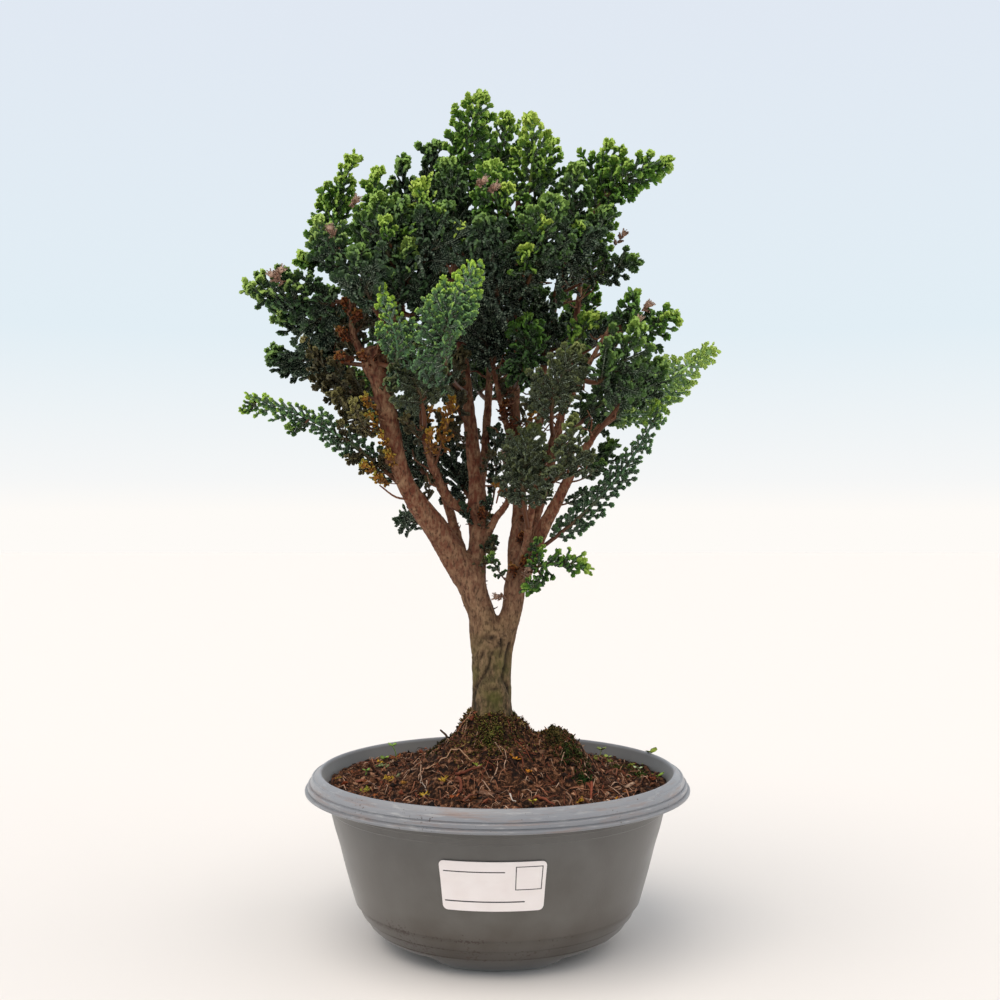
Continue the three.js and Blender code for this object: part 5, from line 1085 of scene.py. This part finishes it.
# small tufts: limb and height on it (or 'free' and a point in the spray that carries it), tip, width, tone
tufts = [
    ["right_trunk", 183, [-3, -11, 198], 9, "mid"], ["right_trunk", 186, [16, -13, 193], 5, "dead"],
    ["right_trunk", 182, [0, -7, 178], 4, "dead"], ["centre_slip", 233, [1, -12, 236], 8, "gold"],
    ["centre_slip", 236, [4, -14, 252], 9, "dead"], ["free", [-104, -46, 336], [-110, -51, 338], 5, "dead"],
    ["free", [-111, -48, 338], [-106, -52, 340], 4, "dead"],
    ["free", [-75, -30, 377], [-71, -34, 379], 5, "dead"],
    ["free", [-80, -45, 358], [-82, -48, 361], 4, "dead"],
    ["free", [-11, -44, 384], [-7, -48, 385], 4, "dead"],
    ["free", [-5, -44, 381], [-1, -48, 382], 5, "dead"],
    ["free", [72, -38, 323], [75, -42, 325], 4, "dead"],
    ["free", [67, -47, 314], [69, -50, 316], 4, "dead"], ["left_bough", 243, [-67, -27, 246], 8, "gold"],
    ["left_bough", 238, [-61, -25, 240], 6, "gold"], ["left_bough", 262, [-64, -34, 270], 8, "gold"],
    ["left_bough", 272, [-66, -36, 279], 8, "gold"], ["left_bough", 252, [-58, -32, 260], 7, "gold"],
    ["left_bough", 246, [-54, -29, 251], 5, "gold"], ["left_bough", 292, [-53, -38, 300], 7, "rust"],
    ["left_bough", 297, [-67, -39, 300], 7, "rust"], ["left_riser", 303, [-78, -36, 300], 6, "rust"],
    ["left_riser", 308, [-77, -38, 312], 4, "rust"], ["left_riser", 315, [-70, -38, 321], 4, "rust"],
    ["left_riser", 321, [-76, -36, 328], 4, "rust"], ["left_riser", 328, [-70, -35, 335], 4, "rust"],
    ["left_riser", 335, [-75, -33, 342], 4, "rust"], ["inner_right", 262, [8, -2, 270], 5, "rust"],
    ["right_leader", 283, [27, 10, 290], 5, "rust"], ["middle_leader", 296, [4, 3, 303], 5, "rust"],
    ["left_trunk", 190, [-6, -2, 196], 8, "olive"], ["left_leader", 200, [-3, 0, 206], 8, "dark"],
    ["left_leader", 212, [-4, 2, 219], 7, "olive"], ["right_trunk", 188, [22, -14, 202], 8, "fresh"],
    ["right_trunk", 181, [17, -14, 186], 7, "mid"], ["left_bough", 281, [-52, -34, 288], 11, "olive"],
    ["inner_left", 250, [-34, -30, 262], 10, "gold"], ["inner_left", 259, [-46, -30, 268], 11, "olive"],
    ["left_leader", 240, [-4, 4, 252], 9, "olive"], ["left_leader", 256, [-24, 2, 268], 10, "olive"],
    ["left_leader", 216, [-18, 0, 224], 7, "dark"], ["middle_leader", 232, [18, 0, 240], 8, "olive"],
    ["middle_leader", 252, [2, 2, 262], 9, "dark"], ["middle_leader", 262, [18, 4, 274], 10, "gold"],
    ["middle_leader", 266, [15, -8, 278], 12, "olive"], ["left_bough", 222, [-35, -10, 240], 9, "olive"],
    ["left_leader", 262, [-30, -4, 272], 12, "olive"], ["middle_leader", 280, [0, 2, 292], 11, "olive"],
    ["right_bough", 226, [44, -12, 232], 9, "dark"], ["right_bough", 238, [53, -14, 246], 9, "mid"],
    ["right_trunk", 189, [20, -14, 206], 8, "mid"], ["centre_slip", 215, [-3, -2, 204], 7, "olive"],
    ["left_leader", 222, [-5, 4, 228], 7, "dark"], ["right_leader", 306, [62, -30, 319], 17, "dark"],
    ["right_bough", 246, [34, -22, 256], 10, "olive"],
    ["free", [-57, -15, 244], [-59, -20, 251], 9, "olive"],
    ["free", [-63, -17, 250], [-67, -21, 245], 10, "olive"],
    ["free", [-70, -19, 255], [-74, -23, 250], 9, "olive"],
    ["free", [-76, -21, 259], [-79, -25, 266], 8, "olive"],
    ["free", [-118, -47, 277], [-122.5, -49, 272], 8, "fresh"],
    ["right_leader", 309, [47, -31, 320], 20, "bright"], ["right_trunk", 191, [14, -9, 197], 6, "rust"],
    ["right_bough", 191, [18, -9, 195], 6, "rust"], ["right_trunk", 189, [8, -9, 193], 5, "rust"],
    ["left_leader", 216, [-8, -2, 222], 4, "rust"], ["middle_leader", 205, [14, -4, 210], 4, "rust"],
    ["middle_leader", 215, [15, -1, 221], 4, "rust"], ["left_bough", 299, [-57, -39, 306], 8, "rust"],
    ["free", [-95, -32, 269], [-102, -35, 264], 9, "mid"], ["inner_left", 266, [-34, -30, 274], 9, "gold"],
    ["middle_leader", 272, [5, 3, 279], 5, "rust"], ["right_leader", 275, [27, 9, 283], 5, "rust"],
    ["inner_right", 270, [3, -4, 276], 5, "rust"], ["free", [13, -40, 340], [14, -50, 349], 14, "bright"],
    ["free", [22, -40, 353], [23, -52, 362], 14, "bright"],
    ["free", [-17, -42, 350], [-18, -54, 359], 13, "bright"],
    ["free", [-25, -42, 357], [-26, -52, 367], 12, "fresh"],
    ["free", [5, -35, 371], [5, -46, 381], 13, "bright"],
    ["free", [38, -34, 353], [40, -44, 363], 12, "fresh"],
    ["free", [-52, -50, 352], [-54, -58, 362], 12, "fresh"],
    ["front_right", 226, [26, -34, 232], 9, "grey"], ["right_leader", 344, [66, -6, 368], 5, "dead"],
    ["left_crown", 335, [-47, -46, 374], 30, "dark"], ["left_crown", 318, [-43, -52, 352], 26, "shaded"],
    ["left_bough", 300, [-80, -22, 322], 20, "olive"], ["left_riser", 312, [-64, -20, 332], 20, "olive"],
    ["inner_right", 300, [2, -20, 322], 24, "dark"], ["middle_leader", 318, [14, -16, 340], 24, "dark"],
    ["rear_left", 240, [-44, 46, 250], 11, "olive"], ["rear_right", 240, [38, 46, 250], 11, "olive"],
    ["rear_centre", 262, [-14, 44, 270], 11, "olive"], ["left_leader", 300, [-34, 28, 330], 30, "dark"],
    ["left_leader", 330, [-12, 30, 362], 30, "dark"], ["left_leader", 348, [-36, 28, 384], 28, "dark"],
    ["middle_leader", 300, [22, 30, 330], 28, "dark"], ["middle_leader", 330, [0, 26, 366], 30, "dark"],
    ["middle_leader", 345, [24, 26, 382], 28, "dark"], ["right_leader", 344, [47, 28, 366], 22, "dark"],
    ["rear_left", 300, [-62, 22, 330], 30, "dark"], ["rear_left", 320, [-72, 24, 356], 28, "dark"],
    ["rear_centre", 310, [-4, 24, 338], 28, "dark"], ["left_crown", 330, [-58, -8, 356], 28, "dark"],
    ["inner_left", 270, [-44, 6, 300], 24, "dark"],
]

# tone: spread of facings in degrees, freshness of the inner parts, gain towards the tips, pale wax, and
# colours from old growth and painted shade to new growth and painted light
tones = {
    "dark": (110, 0.07, 0.74, 0.8, ["#111a12", "#233629", "#405c38", "#86ae50"]),
    "mid": (90, 0.1, 0.82, 0.7, ["#142013", "#2a4127", "#527637", "#98bc56"]),
    "fresh": (50, 0.13, 0.95, 0.5, ["#172613", "#325426", "#649436", "#accd58"]),
    "bright": (40, 0.16, 1.0, 0.6, ["#1a2b19", "#3a5a30", "#78a43a", "#bcd85c"]),
    "grey": (50, 0.1, 0.64, 0.7, ["#23271a", "#444a2f", "#6e7944", "#a2ae60"]),
    "olive": (60, 0.12, 0.66, 0.3, ["#332a1b", "#524930", "#726b45", "#959052"]),
    "gold": (60, 0.2, 0.9, 0.1, ["#573416", "#986326", "#c09236", "#c0b34e"]),
    "silver": (50, 0.36, 0.95, 0.7, ["#2b392c", "#5e7d62", "#8fb56c", "#c2e070"]),
    # a shaded copy of the dark leaves with paler tips: painted shade
    "shaded": (60, 0.12, 0.9, 0.8, ["#151e17", "#2c4031", "#4e7242", "#aaca62"]),
    "frosted": (40, 0.14, 0.9, 1.0, ["#1e2a20", "#3e5747", "#6c9862", "#b2da50"]),
    "rust": (60, 0.25, 0.8, 0.1, ["#32180c", "#5e2d16", "#884a24", "#a4723a"]),
    "dead": (60, 0.5, 0.9, 0.0, ["#483026", "#7e5c4c", "#b3907c", "#dac0ac"]),
}

leafage = {
    # sprays that look other than their group in the list
    "looks": {"left_leader_spray_4": "frosted", "left_bough_spray_5": "frosted",
              "left_bough_spray_1": "frosted", "right_bough_spray_1": "silver",
              "right_bough_spray_4": "frosted", "left_riser_spray_4": "shaded", "left_riser_spray_1": "shaded"},
    "branchletEvery": 6.0, "knobEvery": 2.4,  # mm along the rib on each side, and along a branchlet in all
    "angle": 54, "closing": 14, "jitter": 18,  # degrees from the rib, how much less at the tip, how uneven
    # three at the tip: degrees, most reach in mm and as a share of the width
    "terminal": (30, 30, 3), "terminalReach": (5.5, 0.34),
    "proudReach": (4.5, 9.0), "proudTilt": (38, 68),  # mm and degrees, for those that stand out of the fan
    # how the branchlets of a fan grow: spacing against the rest, share of proud ones that are missing, jitter
    # against the rest, least reach and how much more some have, as shares of the room, and tilt in degrees
    "combed": {"spacing": 0.84, "missing": 0.6, "jitter": 0.4, "least": 0.86, "more": 0.22, "tilt": 10},
    "loose": {"spacing": 1, "missing": 0, "jitter": 1, "least": 0.74, "more": 0.36, "tilt": 24},
    "combedTones": ("frosted", "silver", "grey"),
    "knobLength": 5.4, "knobAngle": 48, "knobRoll": 34, "knobPitch": 24,  # mm and degrees
    "lobeHalf": 1.12, "flatness": 0.66, "shrivelled": 0.4,  # mm; thickness against width; width of a dead one
    # pairs of lobes: place along the knob, share of its length, degrees
    "lobes": ((0.26, 0.5, 48), (0.56, 0.4, 38)),
    # size and spacing of the knobs against the rest
    "finer": {"frosted": 0.7, "silver": 0.76, "gold": 0.8, "grey": 0.84, "dead": 0.7, "rust": 0.75,
              "dark": 1.15, "mid": 1.07},
    # least share of light that a tone gets inside the crown
    "sunlit": {"bright": 0.8, "fresh": 0.55, "frosted": 0.8, "silver": 0.85},
    "crownMiddle": (0, 0, 300), "crownReach": (120, 80, 142),
    "fresherAndLit": (0.1, 0.56),  # how much lighter a shoot's end is than its foot, and more so by its gain: fresh tips with painted light, feet in painted shade
}


def draw(n):
    # the fractional part of a large sine: one fixed value for each whole number
    value = math.sin((n + 1) * 12.9898) * 43758.5453
    return value - math.floor(value)


def limbPoint(limb, height):
    # the point of a limb's middle line at a height, on the straight between its two nearest stations
    path = np.array(limbs[limb], float)
    i = 1
    while i < len(path) - 1 and path[i, 2] < height:
        i += 1
    t = min(max((height - path[i - 1, 2]) / (path[i, 2] - path[i - 1, 2]), 0), 1)
    return path[i - 1, :3] + t * (path[i, :3] - path[i - 1, :3])


def ribPoint(frond, t):
    # a quadratic through root and tip, pulled so that it passes its bend half-way
    root, pull, tip = frond["root"], frond["pull"], frond["tip"]
    t = np.asarray(t, float)[..., None]
    return (1 - t) ** 2 * root + 2 * t * (1 - t) * pull + t**2 * tip


def ribFrame(frond, t):
    # the way the rib runs, the way across the fan, and the way its face looks
    t = np.asarray(t, float)[..., None]
    tangent = unit(2 * (1 - t) * (frond["pull"] - frond["root"]) + 2 * t * (frond["tip"] - frond["pull"]))
    across = unit(np.cross(tangent, frond["facing"]))
    return tangent, across, np.cross(across, tangent)


def makeFrond(root, bend, tip, **rest):
    # the pull is where the quadratic's middle control point has to be
    return {"root": root, "pull": 2 * bend - (root + tip) / 2, "tip": tip, **rest}


def readSprays():
    # groups the rows into one list of fronds for each CAD node
    groups, counts = {}, {}
    last = None
    for seed, (limb, at, bend, tip, width, facing, bare, tone) in enumerate(sprays):
        look = tone
        if limb == "fork":
            root = ribPoint(groups[last]["fronds"][0], at)
        else:
            root = limbPoint(limb, at)
            counts[limb] = counts.get(limb, 0) + 1
            last = f"{limb}_spray_{counts[limb]}"
            look = leafage["looks"].get(last, tone)
            groups[last] = {"slot": tone, "tone": look, "fronds": []}
        sway = math.radians(tones[look][0] * (draw(seed * 5 + 300) - 0.5))
        face = unit(np.array(facing, float))
        turned = np.array([face[0] * math.cos(sway) - face[1] * math.sin(sway),
                           face[0] * math.sin(sway) + face[1] * math.cos(sway), face[2]])
        bend, tip = np.array(bend, float), np.array(tip, float)
        groups[last]["fronds"].append(makeFrond(root, bend, tip, facing=turned, width=width, bare=bare,
                                                seed=seed, tone=look))
    return groups


def readTufts():
    # one list of short fronds for each tone
    groups = {}
    for i, (limb, at, tip, width, tone) in enumerate(tufts):
        root, tip = np.array(at, float) if limb == "free" else limbPoint(limb, at), np.array(tip, float)
        reach = np.linalg.norm(tip - root)
        bend = 0.5 * (root + tip) + [0, 0, -0.12 * reach]
        facing = unit(np.array([draw(i + 700) - 0.5, -1.2 if tip[1] < 20 else 1.2, 0.6 * draw(i + 800)]))
        bare = max(0.1, 1 - 1.2 * width / reach)
        groups.setdefault(tone, []).append(makeFrond(root, bend, tip, facing=facing, width=width, bare=bare,
                                                     seed=200 + i, tone=tone))
    return groups


def branchletPoints(fan, owner, u):
    # root + reach (ahead u + bend u^2), with u from 0 to 1
    run = fan["ahead"][owner] * u + fan["bend"][owner] * u**2
    return fan["root"][owner] + fan["reach"][owner, None] * run


def placeBranchlets(frond, rng):
    # where branchlets leave the rib and how they run; their bend, 0.2 rib + cup up, cups the fan as a shell
    habit = leafage["combed" if frond["tone"] in leafage["combedTones"] else "loose"]
    bare, width = frond["bare"], frond["width"]
    length = np.linalg.norm(np.diff(ribPoint(frond, np.linspace(0, 1, 40)), axis=0), axis=1).sum()
    count = max(2, round(length * (1 - bare) / (leafage["branchletEvery"] * habit["spacing"])))
    # by turns on the left and right, some that stand out in front and behind, and three at the tip
    steps = np.arange(count)
    station = np.concatenate([steps, steps + 0.5, steps + 0.25, steps + 0.75, np.full(3, count * 0.94)])
    chosen = rng.choice([-1.0, 1.0], 2 * count)
    side = np.concatenate([np.full(count, -1.0), np.full(count, 1.0), chosen, [-1, 1, 1]])
    proud = np.concatenate([np.zeros(2 * count), np.full(count, 1.0), np.full(count, -1.0), np.zeros(3)])
    kept = (proud == 0) | (rng.random(len(station)) > habit["missing"])
    station, side, proud = station[kept], side[kept], proud[kept]
    n = len(station)
    terminal = np.arange(n) >= n - 3
    share = np.minimum((station + 0.4 * rng.random(n) * ~terminal) / count, 1)
    place = bare + (1 - bare) * share
    tangent, across, up = ribFrame(frond, place)
    out = leafage["angle"] - leafage["closing"] * share
    out = out + leafage["jitter"] * habit["jitter"] * (rng.random(n) - 0.5)
    out[terminal] = leafage["terminal"]
    # half the fan's width: full a quarter of the way along, and less towards both ends
    half = width / 2 * (0.62 + 0.38 * np.sin(np.pi * np.minimum(1, 0.25 + share))) * (1 - 0.25 * share**2)
    reach = (half - 1.8) / np.sin(np.radians(np.maximum(out, 42)))
    reach = reach * (habit["least"] + habit["more"] * rng.random(n)) - 2.1
    standing = np.minimum(between(leafage["proudReach"], rng.random(n)), 0.5 * width)
    reach = np.where(proud != 0, standing, reach)
    most, shareOfWidth = leafage["terminalReach"]
    reach[terminal] = min(most, shareOfWidth * width)
    # nothing grows past the end of the rib
    room = (1 - place) * length - 3.6
    reach = np.clip(np.minimum(reach, room / (1.1 * np.cos(np.radians(out)))), 2.2, None)
    tilt = proud * between(leafage["proudTilt"], rng.random(n))
    tilt = np.where(proud != 0, tilt, habit["tilt"] * (2 * rng.random(n) - 1))
    tilt, out = np.radians(tilt)[:, None], np.radians(out)[:, None]
    ahead = (tangent * np.cos(out) + across * side[:, None] * np.sin(out)) * np.cos(tilt) + up * np.sin(tilt)
    cup = 0.5 * (draw(frond["seed"] * 11 + 7) - 0.4) + 0.3 * (rng.random(n) - 0.5)
    leafUp = unit(np.cross(ahead, tangent) * side[:, None] + 0.5 * (rng.random((n, 3)) - 0.5))
    leafAcross = unit(np.cross(leafUp, ahead))
    fan = {"root": ribPoint(frond, place), "reach": reach, "ahead": ahead, "share": share,
           "bend": 0.2 * tangent + cup[:, None] * up,
           "across": leafAcross, "up": unit(np.cross(ahead, leafAcross))}
    # growth is fresh at the fan's far end and at the ends of branchlets; painted light makes it lighter on
    # the outside of the crown and where a branchlet points up
    end = branchletPoints(fan, slice(None), 1.0)
    away = np.linalg.norm((end - leafage["crownMiddle"]) / leafage["crownReach"], axis=1)
    # painted light: 'lit' is more on the outside of the crown and where a branchlet points up, and it
    # lightens the colour
    lit = 0.4 + 0.6 * np.clip((away - 0.5) / 0.42, 0, 1) + 0.28 * ahead[:, 2]
    fan["gain"] = tones[frond["tone"]][2] * np.maximum(lit, leafage["sunlit"].get(frond["tone"], 0))
    fan["farEnd"] = 0.06 * share + 0.34 * np.clip((share - 0.6) / 0.4, 0, 1) ** 1.4
    return fan


def growBranchlets(frond, fan):
    # a thin finger along each, bark brown at its foot
    n, fresh = len(fan["reach"]), tones[frond["tone"]][1]
    u = np.array([0, 0.35, 0.7, 1.0])[None, :, None]
    run = fan["ahead"][:, None] * u + fan["bend"][:, None] * u**2
    centres = fan["root"][:, None] + fan["reach"][:, None, None] * run
    halves = leafage["lobeHalf"] * np.array([0.75, 0.75, 0.7, 0.6])[None] * np.ones((n, 1))
    points, faces, sideways = fingers(centres, fan["across"], fan["up"], halves, 1.0)
    growthAndLight = fresh - 0.14 + fan["gain"][:, None] * (fan["farEnd"][:, None] + 0.1 * u[..., 0] ** 2)
    woody = np.clip(0.4 - u[..., 0], 0, 0.4) * np.ones((n, 1))
    return points, faces, spread(growthAndLight), spread(fan["reach"][:, None] * u[..., 0]), sideways, spread(woody)


def growKnobs(frond, fan, rng):
    # knobs with pairs of lobes along every branchlet, left and right by turns, and one on its end
    finer = leafage["finer"].get(frond["tone"], 1)
    each = np.maximum(2, np.round(fan["reach"] / (leafage["knobEvery"] * finer)).astype(int))
    owner = np.repeat(np.arange(len(each)), each)
    order = np.arange(len(owner)) - np.repeat(np.cumsum(each) - each, each)
    m = len(owner)
    last = order == each[owner] - 1
    v = np.where(last, 0.97, np.minimum((order + 0.5 + 0.4 * rng.random(m)) / each[owner], 0.95))[:, None]
    hand = np.where(order % 2 == 0, 1.0, -1.0)[:, None]
    lead = unit(fan["ahead"][owner] + 2 * fan["bend"][owner] * v)
    foot = branchletPoints(fan, owner, v)
    angle = leafage["knobAngle"] - 12 * v[:, 0] + 20 * (rng.random(m) - 0.5)
    angle = np.radians(np.where(last, 4, angle))[:, None]
    pitch = np.radians(leafage["knobPitch"] * (2 * rng.random((m, 1)) - 0.8))
    flat = lead * np.cos(angle) + fan["across"][owner] * hand * np.sin(angle)
    heading = unit(flat * np.cos(pitch) + fan["up"][owner] * np.sin(pitch))
    roll = np.radians(leafage["knobRoll"] * (2 * rng.random((m, 1)) - 1))
    level = unit(np.cross(fan["up"][owner], heading))
    across = level * np.cos(roll) + np.cross(heading, level) * np.sin(roll)
    up = np.cross(heading, across)
    small = min(max(frond["width"] / 16, 0.55), 1) * finer
    size = leafage["knobLength"] * small * (0.78 + 0.4 * rng.random(m))
    size = size * np.clip(fan["reach"][owner] / 9, 0.75, 1.1)
    thick = leafage["lobeHalf"] * small * (0.85 + 0.3 * rng.random((m, 1)))
    thick = thick * (leafage["shrivelled"] if frond["tone"] == "dead" else 1)
    luck = 0.2 * (rng.random((m, 1)) - 0.5)
    gain, farEnd = fan["gain"][owner, None], fan["farEnd"][owner, None]
    base = tones[frond["tone"]][1] + gain * (farEnd + (0.1 + 0.2 * fan["share"][owner, None]) * v**2) + luck
    # painted light and shade: knob ends lighter and knob feet darker, more so where the fan is lit
    fresherAndLit = leafage["fresherAndLit"][0] + leafage["fresherAndLit"][1] * gain

    def shoots(start, length, heading, sides, w, halves, across, growthAndLight):
        # blunt fingers with rings at the shares w of their length, and how fresh and how lit each ring is
        # painted
        centres = alongRays(start, length, heading, w)
        points, faces, sideways = fingers(centres, across, np.cross(heading, across), thick * [halves],
                                          leafage["flatness"], sides)
        along = spread(length[:, None] * w[None], sides)
        return points, faces, spread(growthAndLight, sides), along, sideways, np.zeros(len(points))

    w = np.array([0.0, 0.95])
    parts = [shoots(foot, size, heading, 4, w, [0.8, 1.1], across, base - 0.16 + fresherAndLit * w[None] ** 1.6)]
    for at, part, degrees in leafage["lobes"]:
        for turn in (-1, 1):
            fork = np.radians(degrees + 18 * (rng.random((m, 1)) - 0.5))
            lobe = heading * np.cos(fork) + turn * across * np.sin(fork)
            lobe = unit(lobe + 0.4 * (rng.random((m, 1)) - 0.4) * up)
            start = foot + (at * size)[:, None] * heading
            length = part * size * (0.8 + 0.4 * rng.random(m))
            w = np.array([0.0, 0.9])
            parts.append(shoots(start, length, lobe, 3, w, [0.8, 1.05], unit(np.cross(up, lobe)),
                                base + fresherAndLit * (at + 0.4 * w[None]) - 0.1))
    return parts


def growRib(frond, fan):
    # bark at its root, green further out
    s = np.linspace(0, 0.97, 14)
    radii = min(1.4, frond["width"] / 16) * (1 - 0.57 * s)
    points, faces = tube(ribPoint(frond, s), radii, frond["facing"], 6)
    woody = np.concatenate([np.repeat(np.clip(1.3 - 3.5 * (s - frond["bare"]), 0, 1), 6), [1.0, 0.0]])
    none = np.zeros(len(points))
    return points, faces, none + tones[frond["tone"]][1] + 0.3 * fan["gain"].mean(), none, none, woody


def growFrond(frond):
    # parts of points, faces and, at the points: growth with painted light, place along the shoot, place
    # across it, wood
    rng = np.random.default_rng(1000 + frond["seed"])
    fan = placeBranchlets(frond, rng)
    return [growBranchlets(frond, fan), *growKnobs(frond, fan, rng), growRib(frond, fan)]


def leafMaterial(tone):
    # waxy scale leaves: dark and blue where old and in painted shade, lime where new and in painted light,
    # with pale wax along the edges underneath
    *_, net, ramp = tones[tone]
    material, tree, surface = startMaterial(f"scale_leaves_{tone}", 0.5, 0.25)
    growthAndLight = addNode(tree, "Attribute", take="Fac", attribute_name="growthAndLight")
    place = addNode(tree, "TexCoord", take="Object")
    mottle = addNode(tree, "TexNoise", {"Vector": place, "Scale": 700.0, "Detail": 2.0})
    less = addNode(tree, "Math", [growthAndLight, 0.12], operation="SUBTRACT")
    mottled = addNode(tree, "Math", [mottle, 0.24, less], operation="MULTIPLY_ADD")
    green = addNode(tree, "ValToRGB", [mottled], stops=list(zip((0.0, 0.3, 0.62, 1.0), ramp)))
    # wax: a thin line off the middle of each shoot, broken every 1.3 mm
    sideways = addNode(tree, "Attribute", take="Fac", attribute_name="sideways")
    off = addNode(tree, "Math", [sideways], operation="ABSOLUTE")
    edge = addNode(tree, "Math", [off, 0.5, 0.22], operation="COMPARE")
    along = addNode(tree, "Attribute", take="Fac", attribute_name="along")
    turn = addNode(tree, "Math", [along, 4.8], operation="MULTIPLY")
    beat = addNode(tree, "Math", [turn], operation="SINE")
    dashed = addNode(tree, "MapRange", [beat, -0.9, 0.1, 0.15 * net, net])
    oldAndDim = addNode(tree, "MapRange", [growthAndLight, 0.55, 0.3, 0.1, 1.0])
    onEdge = addNode(tree, "Math", [edge, dashed], operation="MULTIPLY")
    wax = addNode(tree, "Math", [onEdge, oldAndDim], operation="MULTIPLY")
    waxed = addNode(tree, "Mix", {0: wax, 6: green, 7: toLinear("#93a38c")}, 2, data_type="RGBA")
    woody = addNode(tree, "Attribute", take="Fac", attribute_name="woody")
    stem = addNode(tree, "Mix", {0: woody, 6: waxed, 7: toLinear("#5f3c29")}, 2, data_type="RGBA")
    linkSurface(tree, surface, {"Base Color": stem})
    return material


materials = {tone: leafMaterial(tone) for tone in tones}
# name of the piece: tone, fronds, slot, and the CAD node it replaces
groups = {f"{name}_fan": (group["tone"], group["fronds"], f"foliage_{group['slot']}", [name])
          for name, group in readSprays().items()}
groups.update({f"{tone}_tufts": (tone, fronds, None, ()) for tone, fronds in readTufts().items()})
total = 0
for name, (tone, fronds, slot, nodes) in groups.items():
    parts = [part for frond in fronds for part in growFrond(frond)]
    points, faces = joinParts([part[:2] for part in parts])
    fields = {field: np.concatenate([part[i] for part in parts])
              for i, field in enumerate(("growthAndLight", "along", "sideways", "woody"), 2)}
    addPiece(name, points * mm, faces, materials[tone], nodes, fields)
    total += sum(len(face) * (face.shape[1] - 2) for face in faces)
print("sprays", total, "triangles")
